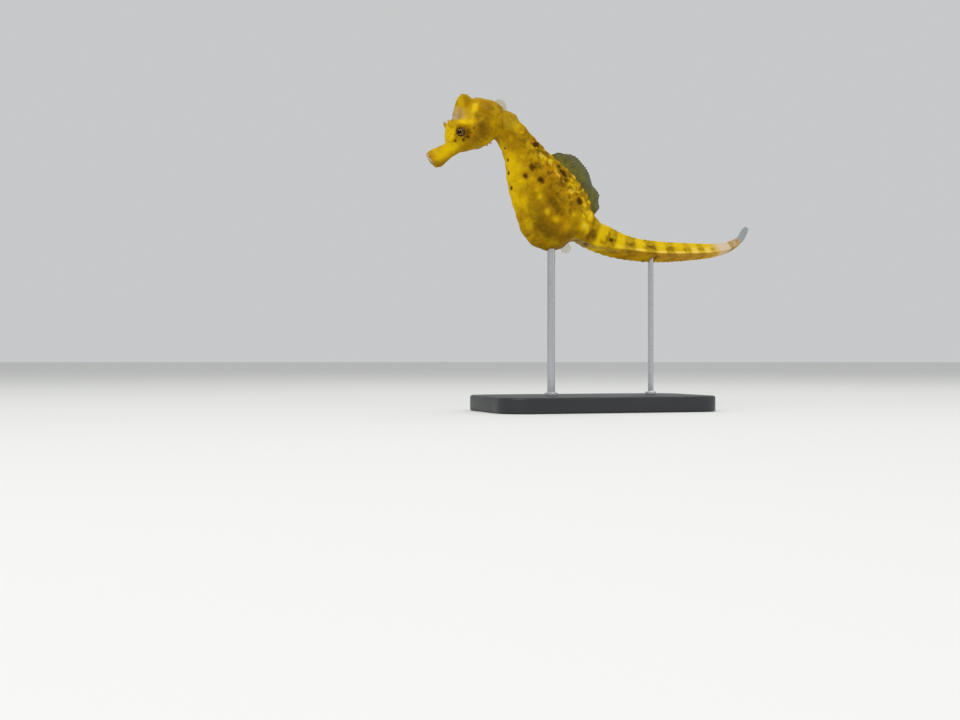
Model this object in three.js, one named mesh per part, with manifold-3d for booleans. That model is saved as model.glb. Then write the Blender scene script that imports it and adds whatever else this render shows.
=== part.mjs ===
// A big-belly seahorse, Hippocampus abdominalis, as a still life-size model on a plain display stand.
// It swims with its trunk sloping, its head bent down from the neck and its tail trailing behind.
// Units are millimetres and +Z is up. The animal faces -X, and its left side is towards -Y.
import * as THREE from "three";
import { mergeVertices } from "three/addons/utils/BufferGeometryUtils.js";
import Module from "manifold-3d";

const wasm = await Module();
wasm.setup();

// ---------- Driving dimensions ----------

const GAP = 0.3; // between touching pieces
const LIFT = 88; // the trunk's middle above the floor
const TRUNK_RINGS = 12;
const TAIL_RINGS = 44;
const TAIL_RING_SHRINK = 0.45; // the last tail ring is this much shorter than the first, as a share
const SIDE_BEND = 0.004; // the tail swings to the right by this times the square of the way along it
const TAIL_START_X = 14;
const TAIL_ROLL = THREE.MathUtils.degToRad(36); // the tail's underside turns to the left by this much
const TAIL_ROLLED_BY = 0.25; // as a share of the way to the tip
const ROLL_SLIMS = 0.227; // a square tail standing on its corner is this much slimmer, for the same height
const TAIL_ROOT_RADIUS = 4.85;
const TAIL_TIP_RADIUS = 1.35;
const TAIL_TAPER = 1.5;

// The spine from inside the head to the tail's tip, with the reach from it to the back and the belly,
// and half the body's width. The tail's sizes come from its taper.
const TRUNK = [
  { name: "skull", x: -25, z: 21, back: 4.6, belly: 4.4, side: 3.2 },
  { name: "nape", x: -18.6, z: 19.8, back: 6.2, belly: 5.2, side: 4.7 },
  { name: "neck", x: -13.9, z: 15.4, back: 5.9, belly: 5.6, side: 4.7 },
  { name: "shoulder", x: -10, z: 9.6, back: 7.4, belly: 7, side: 5.2 },
  { name: "chest", x: -6, z: 2.2, back: 10.2, belly: 10.2, side: 6.3 },
  { name: "waist", x: -1.1, z: -5.4, back: 12.5, belly: 13.2, side: 7.3 },
  { name: "belly", x: 4.3, z: -12.2, back: 12.7, belly: 15.7, side: 7.7 },
  { name: "lap", x: 9.3, z: -16.2, back: 11.8, belly: 12.6, side: 7.3 },
  { name: "vent", x: 12, z: -17.7, back: 10.4, belly: 5.9, side: 6.6 },
  { name: "hip", x: 14.4, z: -18.8, back: 8.3, belly: 4.4, side: 5.8 },
];
const TAIL = [
  { x: 21.3, z: -21 },
  { x: 29.3, z: -23.7 },
  { x: 38.9, z: -25.3 },
  { x: 50.6, z: -25.6 },
  { x: 64.7, z: -24.9 },
  { x: 80.9, z: -23.3 },
  { x: 90.6, z: -21.2 },
  { x: 99, z: -17.4 },
  { x: 104, z: -12 },
];

// How far each ridge and the plates between stand out, as shares of the reach (up the back or down
// the belly) and of the half width: first on the seven-ridged trunk, then on the four-ridged tail.
const RIDGES = [
  { name: "mid_back", trunk: [0.95, 0], tail: [0.93, 0] },
  { name: "back_plate", trunk: [0.985, 0.27], tail: [0.93, 0.42] },
  { name: "upper_ridge", trunk: [1, 0.52], tail: [0.95, 0.84], spine: [0.6, 0.3] },
  { name: "upper_plate", trunk: [0.52, 0.8], tail: [0.48, 0.88] },
  { name: "side_ridge", trunk: [0.08, 1], tail: [0, 0.92], spine: [0.45, 0.05] },
  { name: "lower_plate", trunk: [-0.3, 0.95], tail: [-0.48, 0.88] },
  { name: "lower_ridge", trunk: [-0.62, 0.8], tail: [-0.95, 0.84], spine: [0.35, 0.25] },
  { name: "keel_plate", trunk: [-0.86, 0.42], tail: [-0.95, 0.42] },
  { name: "keel", trunk: [-1, 0], tail: [-0.95, 0], spine: [0.12, 0] },
];
const AROUND = 2 * (RIDGES.length - 1);
const RING_GROOVE = 0.18; // the skin between two rings lies this much lower
const FLAT_RINGS_FROM = TRUNK_RINGS + 24; // rings from here to the tip are too small to stand out

// ---------- Working out the body's frame ----------

/** Smooth step from 0 at a to 1 at b. */
function ease(value, a, b) {
  return THREE.MathUtils.smoothstep(value, a, b);
}

/** Value at place t, 0 to 1, of a smooth line through equally spaced numbers. */
function smoothLine(values, t) {
  const points = values.map((v) => new THREE.Vector3(v, 0, 0));
  return new THREE.CatmullRomCurve3(points, false, "catmullrom", 0.5).getPoint(t).x;
}

function sideBend(x) {
  return SIDE_BEND * Math.max(0, x - TAIL_START_X) ** 2;
}

const stations = [...TRUNK, ...TAIL];
const spine = new THREE.CatmullRomCurve3(
  stations.map((p) => new THREE.Vector3(p.x, sideBend(p.x), p.z)),
);
spine.arcLengthDivisions = 1200;
const spineLength = spine.getLength();
const stationAt = (index) => lengthAt(index / (stations.length - 1));

/** Length along the spine at curve place t. */
function lengthAt(t) {
  const lengths = spine.getLengths();
  const place = t * (lengths.length - 1);
  const low = Math.min(Math.floor(place), lengths.length - 2);
  return THREE.MathUtils.lerp(lengths[low], lengths[low + 1], place - low);
}

const SHOULDER_AT = stationAt(1);
const HIP_AT = stationAt(TRUNK.length - 1);
const TIP_AT = spineLength;

/** The spine's point and directions, and the body's reaches, at a length along the spine. */
function bodyAt(length) {
  const u = THREE.MathUtils.clamp(length / spineLength, 0, 1);
  const t = spine.getUtoTmapping(u);
  const centre = spine.getPoint(t);
  const ahead = spine.getTangent(t);
  const right = new THREE.Vector3(-ahead.y, ahead.x, 0).normalize();
  const back = new THREE.Vector3().crossVectors(ahead, right);
  const tailShare = ease(length, HIP_AT - 4, HIP_AT + 7);
  const alongTail = THREE.MathUtils.clamp((length - HIP_AT) / (TIP_AT - HIP_AT), 0, 1);
  const rolled = ease(alongTail, 0, TAIL_ROLLED_BY);
  const roll = TAIL_ROLL * rolled;
  const up = back.clone().multiplyScalar(Math.cos(roll)).addScaledVector(right, Math.sin(roll));
  const out = right.clone().multiplyScalar(Math.cos(roll)).addScaledVector(back, -Math.sin(roll));
  const taper = TAIL_TIP_RADIUS + (TAIL_ROOT_RADIUS - TAIL_TIP_RADIUS) * (1 - alongTail ** TAIL_TAPER);
  const tail = taper * (1 - ROLL_SLIMS * rolled);
  const trunkT = Math.min(1, (t * (stations.length - 1)) / (TRUNK.length - 1));
  const sized = (key, tailSize) => {
    const trunk = smoothLine(TRUNK.map((p) => p[key]), trunkT);
    return length <= HIP_AT ? trunk : THREE.MathUtils.lerp(trunk, tailSize, ease(length, HIP_AT, HIP_AT + 6));
  };
  return {
    centre,
    up,
    out,
    tailShare,
    alongTail,
    back: sized("back", tail),
    belly: sized("belly", tail),
    side: sized("side", tail),
  };
}

// Where one ring ends and the next starts, as lengths along the spine.
const trunkRing = (HIP_AT - SHOULDER_AT) / TRUNK_RINGS;
const ringEnds = Array.from({ length: TRUNK_RINGS + 1 }, (_, i) => SHOULDER_AT + i * trunkRing);
const tailWeights = Array.from({ length: TAIL_RINGS }, (_, i) => 1 - (TAIL_RING_SHRINK * i) / TAIL_RINGS);
const tailWeightSum = tailWeights.reduce((sum, w) => sum + w, 0);
for (const weight of tailWeights) {
  ringEnds.push(ringEnds.at(-1) + ((TIP_AT - HIP_AT) * weight) / tailWeightSum);
}

// ---------- Making solids ----------

/** A closed three.js geometry as a manifold-3d solid. */
function solid(geometry) {
  const bare = geometry.index ? geometry.toNonIndexed() : geometry.clone();
  for (const name of Object.keys(bare.attributes)) if (name !== "position") bare.deleteAttribute(name);
  const merged = mergeVertices(bare, 1e-4);
  return new wasm.Manifold(
    new wasm.Mesh({
      numProp: 3,
      vertProperties: new Float32Array(merged.attributes.position.array),
      triVerts: new Uint32Array(merged.index.array),
    }),
  );
}

/** A manifold-3d solid as a flat-shaded three.js geometry. */
function geometryOf(made) {
  const mesh = made.getMesh();
  const shape = new THREE.BufferGeometry();
  shape.setAttribute("position", new THREE.BufferAttribute(new Float32Array(mesh.vertProperties), 3));
  shape.setIndex(new THREE.BufferAttribute(new Uint32Array(mesh.triVerts), 1));
  const flat = shape.toNonIndexed();
  flat.computeVertexNormals();
  return flat;
}

/**
 * A closed tube of many sections. place(index, turn, reach) gives a point: index counts the sections,
 * turn runs from 0 to 1 round one, and reach is 1 on the wall and 0 at the middle of an end.
 */
function loft(sections, around, place) {
  const tube = new THREE.CylinderGeometry(1, 1, 1, around, sections - 1);
  const at = tube.attributes.position;
  for (let i = 0; i < at.count; i++) {
    const [x, y, z] = [at.getX(i), at.getY(i), at.getZ(i)];
    const index = Math.round((0.5 - y) * (sections - 1));
    const turn = (Math.atan2(x, z) / (2 * Math.PI) + 1) % 1;
    const point = place(index, turn, Math.min(1, Math.round(Math.hypot(x, z))));
    at.setXYZ(i, point.x, point.y, point.z);
  }
  return solid(tube);
}

/** A closed plate, thin across, whose middle sheet is place(u, v), with u and v from 0 to 1. */
function plate(across, outward, thickness, place) {
  const box = new THREE.BoxGeometry(1, 1, 1, across, outward, 1);
  const at = box.attributes.position;
  const step = 1e-3;
  for (let i = 0; i < at.count; i++) {
    const [u, v, side] = [at.getX(i) + 0.5, at.getY(i) + 0.5, at.getZ(i)];
    const point = place(u, v);
    const alongU = place(u + step, v).sub(place(u - step, v));
    const alongV = place(u, v + step).sub(place(u, v - step));
    point.addScaledVector(alongU.cross(alongV).normalize(), side * thickness);
    at.setXYZ(i, point.x, point.y, point.z);
  }
  return solid(box);
}

/** An egg shape with three radii, turned about Y and Z by degrees before it is put in its place. */
function ellipsoid(centre, radii, detail = 12, { aboutY = 0, aboutZ = 0 } = {}) {
  const ball = new THREE.SphereGeometry(1, detail, Math.round(detail * 0.66));
  ball.scale(...radii);
  ball.rotateY(THREE.MathUtils.degToRad(aboutY));
  ball.rotateZ(THREE.MathUtils.degToRad(aboutZ));
  ball.translate(...centre);
  return solid(ball);
}

/** A round horn along a curve of points, whose radius runs through the given numbers. */
function horn(points, radii, sections = 7, around = 8) {
  const curve = new THREE.CatmullRomCurve3(points.map((p) => new THREE.Vector3(...p)));
  return loft(sections, around, (index, turn, reach) => {
    const t = index / (sections - 1);
    const ahead = curve.getTangent(t);
    const right = new THREE.Vector3(0, 0, 1).cross(ahead).normalize();
    const up = new THREE.Vector3().crossVectors(ahead, right);
    const radius = smoothLine(radii, t) * reach;
    const angle = turn * 2 * Math.PI;
    return curve
      .getPoint(t)
      .addScaledVector(up, radius * Math.cos(angle))
      .addScaledVector(right, radius * Math.sin(angle));
  });
}

const mirrored = (made) => made.mirror([0, 1, 0]);
const largest = (made) => made.decompose().sort((a, b) => b.volume() - a.volume())[0];
const union = (parts) => parts.reduce((whole, part) => whole.add(part));

// ---------- Trunk and tail ----------

/** The ridge or plate, of RIDGES, at a turn round the body, and which side it is on. */
function ridgeAt(turn) {
  const step = Math.round(turn * AROUND) % AROUND;
  const half = AROUND / 2;
  return step <= half ? { ridge: RIDGES[step], hand: 1 } : { ridge: RIDGES[AROUND - step], hand: -1 };
}

/** A point of the body's wall. raised is 1 in the middle of a bony ring and 0 between two rings. */
function wallPoint(length, turn, reach, raised, grow) {
  const body = bodyAt(length);
  const { ridge, hand } = ridgeAt(turn);
  const high = THREE.MathUtils.lerp(ridge.trunk[0], ridge.tail[0], body.tailShare);
  const wide = THREE.MathUtils.lerp(ridge.trunk[1], ridge.tail[1], body.tailShare);
  const spineUp = ridge.spine
    ? THREE.MathUtils.lerp(ridge.spine[0], ridge.spine[1], body.tailShare) * (1 - body.alongTail)
    : 0;
  const slim = 1 - 0.7 * body.alongTail;
  const lift = grow + raised * spineUp - (1 - raised) * RING_GROOVE * slim;
  const up = high * (high > 0 ? body.back : body.belly);
  const out = hand * wide * body.side;
  const flat = Math.hypot(up, out) || 1;
  const share = (reach * (flat + lift)) / flat;
  return body.centre.clone().addScaledVector(body.up, up * share).addScaledVector(body.out, out * share);
}

/** The body from one length along the spine to another, with a section in and between its rings. */
function bodyPart(from, to, grow = 0) {
  const cuts = [{ length: from, raised: 0 }];
  for (let i = 0; i < ringEnds.length - 1; i++) {
    cuts.push({ length: ringEnds[i], raised: 0 });
    if (i < FLAT_RINGS_FROM) cuts.push({ length: (ringEnds[i] + ringEnds[i + 1]) / 2, raised: 1 });
  }
  const inside = cuts.filter((cut, i) => i === 0 || (cut.length > from + GAP && cut.length < to - GAP));
  inside.push({ length: to, raised: 0 });
  return loft(inside.length, AROUND, (index, turn, reach) =>
    wallPoint(inside[index].length, turn, reach, inside[index].raised, grow),
  );
}

/** The body between two ring ends, short of each by half a gap. */
const ringsPart = (first, last) => bodyPart(ringEnds[first] + GAP / 2, ringEnds[last] - GAP / 2);

// ---------- Head ----------

// The skull's outline from the face to the nape: its top, its lower edge and half its width.
const SKULL = [
  { x: -39.4, top: 17.6, low: 13.4, side: 0.9 },
  { x: -39.2, top: 18.9, low: 12.1, side: 2 },
  { x: -38.4, top: 19.8, low: 10.7, side: 3 },
  { x: -37, top: 21.1, low: 9.6, side: 3.7 },
  { x: -34.6, top: 24.2, low: 8.8, side: 4.2 },
  { x: -31, top: 28.6, low: 9.4, side: 4.7 },
  { x: -27, top: 29.6, low: 10.6, side: 4.9 },
  { x: -23, top: 29.2, low: 12.3, side: 4.9 },
  { x: -19.6, top: 28.4, low: 15.3, side: 4.6 },
  { x: -17, top: 26.5, low: 17.6, side: 3.6 },
];
const SKULL_AROUND = 16;
const CROWN_NARROWS = 0.52; // the top of the skull is this much narrower than its cheeks

/** The skull without its snout, crown and gill covers. */
function skull(grow = 0) {
  const rows = SKULL.length * 2 - 1;
  return loft(rows, SKULL_AROUND, (index, turn, reach) => {
    const t = index / (rows - 1);
    const [x, top, low, side] = ["x", "top", "low", "side"].map((key) =>
      smoothLine(SKULL.map((p) => p[key]), t),
    );
    const angle = turn * 2 * Math.PI;
    const up = Math.cos(angle);
    const middle = THREE.MathUtils.lerp(low, top, 0.42);
    const tall = (up > 0 ? top - middle : middle - low) + grow;
    const narrow = 1 - CROWN_NARROWS * Math.max(0, up) ** 1.5;
    const out = Math.sin(angle);
    const wide = (side + grow) * narrow * Math.sign(out) * Math.abs(out) ** 0.8;
    const pastEnd = index === 0 ? -grow : index === rows - 1 ? grow : 0;
    return new THREE.Vector3(x + pastEnd, wide * reach, middle + tall * up * reach);
  });
}

// The snout runs from inside the face to the mouth, waisted in the middle and flared at the lips.
const SNOUT_ROOT = new THREE.Vector3(-33.5, 0, 12.6);
const SNOUT_TIP = new THREE.Vector3(-45, 0, 5);
const SNOUT_DEPTH = [3.4, 3.3, 3, 2.85, 2.95, 3.25, 3.6, 3.65, 3];
const SNOUT_WIDTH = [3.4, 2.9, 2.4, 2.2, 2.15, 2.3, 2.5, 2.3, 1.5];
const MOUTH_RADII = [0.9, 1.15, 0.45];

function snout() {
  const rows = SNOUT_DEPTH.length;
  const ahead = SNOUT_TIP.clone().sub(SNOUT_ROOT).normalize();
  const right = new THREE.Vector3(0, -1, 0);
  const up = new THREE.Vector3().crossVectors(ahead, right);
  const tube = loft(rows, 14, (index, turn, reach) => {
    const angle = turn * 2 * Math.PI;
    // The lips are cut back towards the chin, so that the mouth opens forwards and a little up.
    const lipSlant = index > rows - 3 ? 0.35 * Math.cos(angle) * reach : 0;
    return SNOUT_ROOT.clone()
      .lerp(SNOUT_TIP, index / (rows - 1))
      .addScaledVector(ahead, lipSlant)
      .addScaledVector(up, SNOUT_DEPTH[index] * Math.cos(angle) * reach)
      .addScaledVector(right, SNOUT_WIDTH[index] * Math.sin(angle) * reach);
  });
  const mouthAt = SNOUT_TIP.clone().addScaledVector(ahead, 0.35).addScaledVector(up, 1);
  return tube.subtract(ellipsoid(mouthAt.toArray(), MOUTH_RADII, 10, { aboutY: -35 }));
}

// The crown, or coronet: a low wedge on the forehead that ends in five blunt points.
const CROWN = [
  { z: 20.6, front: -37, rear: -28.5, side: 3 },
  { z: 23, front: -36.8, rear: -27.6, side: 2.7 },
  { z: 25.6, front: -36, rear: -26.8, side: 2.3 },
  { z: 28, front: -35.3, rear: -27.4, side: 2 },
  { z: 29.7, front: -34.2, rear: -29.9, side: 1.7 },
  { z: 30.7, front: -33.1, rear: -31.4, side: 0.9 },
];
const CROWN_POINTS = 5;
const CROWN_REAR_SLIMS = 0.4; // its rear is this much thinner than its front, as a share

function crown() {
  return loft(CROWN.length, 20, (index, turn, reach) => {
    const { z, front, rear, side } = CROWN[CROWN.length - 1 - index];
    const angle = turn * 2 * Math.PI;
    const starred = 1 + (z > 29 ? 0.13 * Math.cos(CROWN_POINTS * angle) : 0);
    const slimmed = 1 - CROWN_REAR_SLIMS * Math.max(0, -Math.cos(angle));
    return new THREE.Vector3(
      (front + rear) / 2 - ((rear - front) / 2) * Math.cos(angle) * starred * reach,
      -side * Math.sin(angle) * starred * slimmed * reach,
      z + (index === 0 && reach === 0 ? -0.35 : 0),
    );
  });
}

// The eye stands in a low turret, under a brow that runs forward into a blunt spine.
const EYE = new THREE.Vector3(-34.8, -3.35, 15.7);
const EYE_RADIUS = 1.95;
const TURRET = { centre: [-34.7, -2.1, 15.7], radii: [3.3, 2.6, 3.3] };
const BROW = [
  [-30.4, -3.3, 17.9],
  [-34, -3.4, 18.5],
  [-36.9, -3.1, 18.3],
  [-38.5, -2.8, 19.1],
  [-39.4, -2.3, 20.5],
];
const BROW_RADII = [1, 1.4, 1.35, 0.85, 0.3];
const GILL_COVER = { centre: [-27.2, -2.5, 17], radii: [6, 3.2, 6.2], turn: -7 };
const CHEEK_SPINE = [
  [-23.4, -1.9, 14.6],
  [-22.8, -2.3, 13.2],
  [-22.4, -2.5, 12.3],
];

/** The left gill cover as a whole bulge. Its rear edge stands out further than its front. */
function gillBulge(grow = 0) {
  const { centre, radii, turn } = GILL_COVER;
  return ellipsoid(centre, radii.map((r) => r + grow), 18, { aboutZ: turn });
}

const leftEye = ellipsoid(EYE.toArray(), Array(3).fill(EYE_RADIUS), 16);
const socket = ellipsoid(EYE.toArray(), Array(3).fill(EYE_RADIUS + GAP), 16);
const leftTurret = ellipsoid(TURRET.centre, TURRET.radii, 14);
const leftBrow = horn(BROW, BROW_RADII, 9);
const leftCheekSpine = horn(CHEEK_SPINE, [1.2, 0.8, 0.3], 5);
const bothSides = (left) => left.add(mirrored(left));
const sockets = bothSides(socket);

// Head and neck are made whole and parted by a thin cut behind the gill covers.
const CUT_LOW = new THREE.Vector3(-20.3, 0, 14.5);
const CUT_HIGH = new THREE.Vector3(-15.6, 0, 27.4);
const cutAcross = CUT_HIGH.clone().sub(CUT_LOW).normalize();
const cutFacing = new THREE.Vector3(cutAcross.z, 0, -cutAcross.x); // towards the trunk
const cutOffset = cutFacing.dot(CUT_LOW);

/** What lies behind the neck's cut, or before it, half a gap away from it. */
const behindCut = (made) => made.trimByPlane(cutFacing.toArray(), cutOffset + GAP / 2);
const beforeCut = (made) =>
  made.trimByPlane(cutFacing.clone().negate().toArray(), -cutOffset + GAP / 2);

const headExtras = bothSides(union([leftTurret, leftBrow, leftCheekSpine]));
const headAndNeck = union([skull(), bodyPart(0, ringEnds[2] - GAP / 2)]);
const headSolid = beforeCut(headAndNeck).add(headExtras).subtract(sockets);
const grownHead = union([skull(GAP), bothSides(ellipsoid(TURRET.centre, TURRET.radii.map((r) => r + GAP), 14))]);

const leftGillCover = largest(
  beforeCut(gillBulge())
    .subtract(grownHead)
    .trimByPlane([0, -1, 0], 2)
    .subtract(bothSides(horn(BROW, BROW_RADII.map((r) => r + GAP), 9)))
    .subtract(bothSides(horn(CHEEK_SPINE, [1.5, 1.1, 0.6], 5)))
    .subtract(sockets),
);
const snoutSolid = largest(snout().subtract(grownHead));
const crownSolid = largest(crown().subtract(grownHead));

// ---------- Fins ----------

const FIN_THICKNESS = 0.6;
const DORSAL_FIN = {
  from: SHOULDER_AT + 4.35 * trunkRing,
  to: HIP_AT + 2.8,
  height: 10.6,
  frontSweep: 0.12,
  rearSweep: 0.42,
  wave: 0.5,
};
const DORSAL_RIM = [0.61, 0.99, 0.98, 0.9, 0.77, 0.7, 0.71, 0.73, 0.52];

/** The dorsal fin's sheet: u runs down the back and v outwards, and the rays lean to the tail. */
function dorsalFinAt(u, v) {
  const { from, to, height, frontSweep, rearSweep, wave } = DORSAL_FIN;
  const length = THREE.MathUtils.lerp(from, to, u);
  const body = bodyAt(length);
  const reach = height * smoothLine(DORSAL_RIM, THREE.MathUtils.clamp(u, 0, 1)) * v;
  const ahead = new THREE.Vector3().crossVectors(body.out, body.up);
  return body.centre
    .clone()
    .addScaledVector(body.up, body.back * 0.95 - 0.9 + reach)
    .addScaledVector(ahead, reach * THREE.MathUtils.lerp(frontSweep, rearSweep, u))
    .addScaledVector(body.out, wave * v * v * Math.sin(u * 3.2 * Math.PI));
}
const bodyForFins = bodyPart(ringEnds[3], ringEnds[TRUNK_RINGS + 5], GAP);
const dorsalFin = largest(plate(24, 4, FIN_THICKNESS, dorsalFinAt).subtract(bodyForFins));

/** A small fan fin: its rays spread from a short base, and turn is the angle of the middle ray. */
function fanFin({ base, along, outward, length, spread, curl }) {
  const a = new THREE.Vector3(...along).normalize();
  const o = new THREE.Vector3(...outward);
  o.addScaledVector(a, -a.dot(o)).normalize();
  const lift = new THREE.Vector3().crossVectors(a, o);
  return plate(10, 4, FIN_THICKNESS, (u, v) => {
    const angle = (u - 0.5) * spread;
    const reach = length * v * (1 - 0.25 * (2 * u - 1) ** 2);
    return new THREE.Vector3(...base)
      .addScaledVector(a, (u - 0.5) * 2.6 + reach * Math.sin(angle))
      .addScaledVector(o, reach * Math.cos(angle))
      .addScaledVector(lift, curl * v * v);
  });
}
const grownNeck = union([skull(GAP), bodyPart(0, ringEnds[4], GAP)]);
const grownCovers = bothSides(gillBulge(GAP));
const fitFin = (fin) => largest(fin.subtract(grownNeck).subtract(grownCovers));
const rightPectoral = fitFin(
  fanFin({
    base: [-18.2, 4, 23.8],
    along: [1, 0.15, -0.6],
    outward: [0.5, 0.3, 1],
    length: 8.2,
    spread: 0.5,
    curl: -0.6,
  }),
);
const leftPectoral = fitFin(
  fanFin({
    base: [-19, -4.4, 18.8],
    along: [0.35, -0.1, -1],
    outward: [0.9, -0.7, -0.1],
    length: 7.4,
    spread: 0.85,
    curl: 0.6,
  }),
);
const analFin = largest(
  fanFin({
    base: [7.4, 0, -22.4],
    along: [1, 0, 0.35],
    outward: [-0.1, 0, -1],
    length: 5.6,
    spread: 0.4,
    curl: 0.3,
  }).subtract(bodyForFins),
);

// ---------- Display stand ----------

const FLOOR = -LIFT;
const BASE = { x: 20, y: 2, length: 88, width: 50, corner: 10, bevel: 0.8, thickness: 6 };
const ROD_FOOT = 3.5; // how deep a rod stands in the base
const FRONT_ROD = { x: 2.5, y: 0, radius: 1.5, top: -20.5 };
const REAR_ROD = { x: 46, y: sideBend(46), radius: 1.1, top: -26.2 };

/** A round bar standing on z, for a rod or for the hole it goes in. */
function bar({ x, y }, radius, z, top) {
  const shape = new THREE.CylinderGeometry(radius, radius, top - z, 24);
  shape.rotateX(Math.PI / 2).translate(x, y, (top + z) / 2);
  return solid(shape);
}
const rodBottom = FLOOR + BASE.thickness - ROD_FOOT;
const rod = (place) => bar(place, place.radius, rodBottom, place.top);
const rodHole = (place) => bar(place, place.radius + GAP, rodBottom - GAP, place.top + GAP);

function standBase() {
  const { length, width, corner, bevel, thickness } = BASE;
  const [a, b] = [length / 2 - bevel, width / 2 - bevel];
  const outline = new THREE.Shape();
  outline.moveTo(-a + corner, -b);
  outline.lineTo(a - corner, -b);
  outline.absarc(a - corner, -b + corner, corner, -Math.PI / 2, 0);
  outline.lineTo(a, b - corner);
  outline.absarc(a - corner, b - corner, corner, 0, Math.PI / 2);
  outline.lineTo(-a + corner, b);
  outline.absarc(-a + corner, b - corner, corner, Math.PI / 2, Math.PI);
  outline.lineTo(-a, -b + corner);
  outline.absarc(-a + corner, -b + corner, corner, Math.PI, 1.5 * Math.PI);
  const slab = new THREE.ExtrudeGeometry(outline, {
    depth: thickness - 2 * bevel,
    bevelThickness: bevel,
    bevelSize: bevel,
    bevelSegments: 1,
    curveSegments: 6,
  });
  slab.translate(BASE.x, BASE.y, FLOOR + bevel);
  return solid(slab);
}

// ---------- The whole model ----------

const skinColour = { color: 0xc99a1e, roughness: 0.55 };
const finish = {
  skin: new THREE.MeshStandardMaterial(skinColour),
  snout: new THREE.MeshStandardMaterial({ ...skinColour, color: 0xd2a827 }),
  tail: new THREE.MeshStandardMaterial({ ...skinColour, color: 0xb98618 }),
  eye: new THREE.MeshStandardMaterial({ color: 0x3a1c08, roughness: 0.12 }),
  fin: new THREE.MeshStandardMaterial({ color: 0x8f8a3a, roughness: 0.4, transparent: true, opacity: 0.5 }),
  base: new THREE.MeshStandardMaterial({ color: 0x25272a, roughness: 0.5 }),
  rod: new THREE.MeshStandardMaterial({ color: 0xb9bcc0, roughness: 0.28, metalness: 1 }),
};
const model = new THREE.Group();
const made = new Map();

/** Adds one solid to the model as a named mesh. */
function node(name, shape, material) {
  const mesh = new THREE.Mesh(geometryOf(shape), material);
  mesh.name = name;
  made.set(name, mesh);
  model.add(mesh);
}

const frontHole = rodHole(FRONT_ROD);
const rearHole = rodHole(REAR_ROD);
node("head", headSolid, finish.skin);
node("snout", snoutSolid, finish.snout);
node("coronet", crownSolid, finish.skin);
node("gill_cover_left", leftGillCover, finish.skin);
node("gill_cover_right", mirrored(leftGillCover), finish.skin);
node("eye_left", leftEye, finish.eye);
node("eye_right", mirrored(leftEye), finish.eye);
node("neck", behindCut(headAndNeck), finish.skin);
node("trunk_upper", ringsPart(2, 6), finish.skin);
node("trunk_lower", ringsPart(6, TRUNK_RINGS).subtract(frontHole), finish.skin);
const TAIL_LENGTHS = [0, 8, 16, 25, 34, TAIL_RINGS];
for (let i = 1; i < TAIL_LENGTHS.length; i++) {
  const piece = ringsPart(TRUNK_RINGS + TAIL_LENGTHS[i - 1], TRUNK_RINGS + TAIL_LENGTHS[i]);
  node(`tail_${i}`, piece.subtract(rearHole), finish.tail);
}
node("dorsal_fin", dorsalFin, finish.fin);
node("pectoral_fin_left", leftPectoral, finish.fin);
node("pectoral_fin_right", rightPectoral, finish.fin);
node("anal_fin", analFin, finish.fin);
node("stand_base", standBase().subtract(frontHole).subtract(rearHole), finish.base);
node("stand_rod_front", rod(FRONT_ROD), finish.rod);
node("stand_rod_rear", rod(REAR_ROD), finish.rod);

// The frame's origin is under the middle of the model's box, on the floor.
const box = new THREE.Box3().setFromObject(model);
const middle = box.getCenter(new THREE.Vector3());
model.position.set(-middle.x, -middle.y, LIFT);

export default model;
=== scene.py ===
import math

import bpy
import numpy as np
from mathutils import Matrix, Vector, noise


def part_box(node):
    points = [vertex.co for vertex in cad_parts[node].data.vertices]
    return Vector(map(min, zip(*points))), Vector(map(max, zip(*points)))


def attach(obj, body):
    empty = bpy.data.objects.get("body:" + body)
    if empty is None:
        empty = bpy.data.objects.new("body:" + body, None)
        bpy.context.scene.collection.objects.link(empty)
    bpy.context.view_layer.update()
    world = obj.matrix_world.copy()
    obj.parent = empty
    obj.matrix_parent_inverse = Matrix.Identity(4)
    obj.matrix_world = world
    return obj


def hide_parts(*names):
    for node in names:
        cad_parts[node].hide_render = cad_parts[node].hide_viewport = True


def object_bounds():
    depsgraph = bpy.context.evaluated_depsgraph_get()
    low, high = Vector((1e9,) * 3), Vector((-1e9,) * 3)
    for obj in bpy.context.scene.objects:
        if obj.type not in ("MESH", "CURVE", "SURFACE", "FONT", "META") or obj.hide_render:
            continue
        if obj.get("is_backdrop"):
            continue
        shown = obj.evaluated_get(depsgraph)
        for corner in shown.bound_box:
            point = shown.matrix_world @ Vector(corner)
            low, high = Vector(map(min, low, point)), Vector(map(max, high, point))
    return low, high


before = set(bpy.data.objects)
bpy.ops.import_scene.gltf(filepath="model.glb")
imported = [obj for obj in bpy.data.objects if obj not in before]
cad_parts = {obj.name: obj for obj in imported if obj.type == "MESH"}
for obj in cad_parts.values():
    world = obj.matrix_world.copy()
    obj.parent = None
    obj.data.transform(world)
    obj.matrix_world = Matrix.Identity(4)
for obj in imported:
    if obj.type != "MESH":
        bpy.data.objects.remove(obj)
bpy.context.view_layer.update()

# ---------- Display base ----------
# The base is a slab of black cast acrylic, sawn to a rounded rectangle and drilled for two rods.
# Its edges are milled to a small round and its top is sanded satin, so that it shows no glare.

MM = 0.001
BASE_CORNER = 10 * MM
BASE_EDGE = 0.8 * MM
MERGE = 0.001 * MM  # points nearer than this are one point


def deselect():
    """Nothing is selected, neither among the objects nor in the active mesh."""
    if bpy.context.object and bpy.context.object.mode != "OBJECT":
        bpy.ops.object.mode_set(mode="OBJECT")
    bpy.ops.object.select_all(action="DESELECT")


def work_on(piece):
    """Only this piece is selected and active."""
    deselect()
    piece.select_set(True)
    bpy.context.view_layer.objects.active = piece


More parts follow.
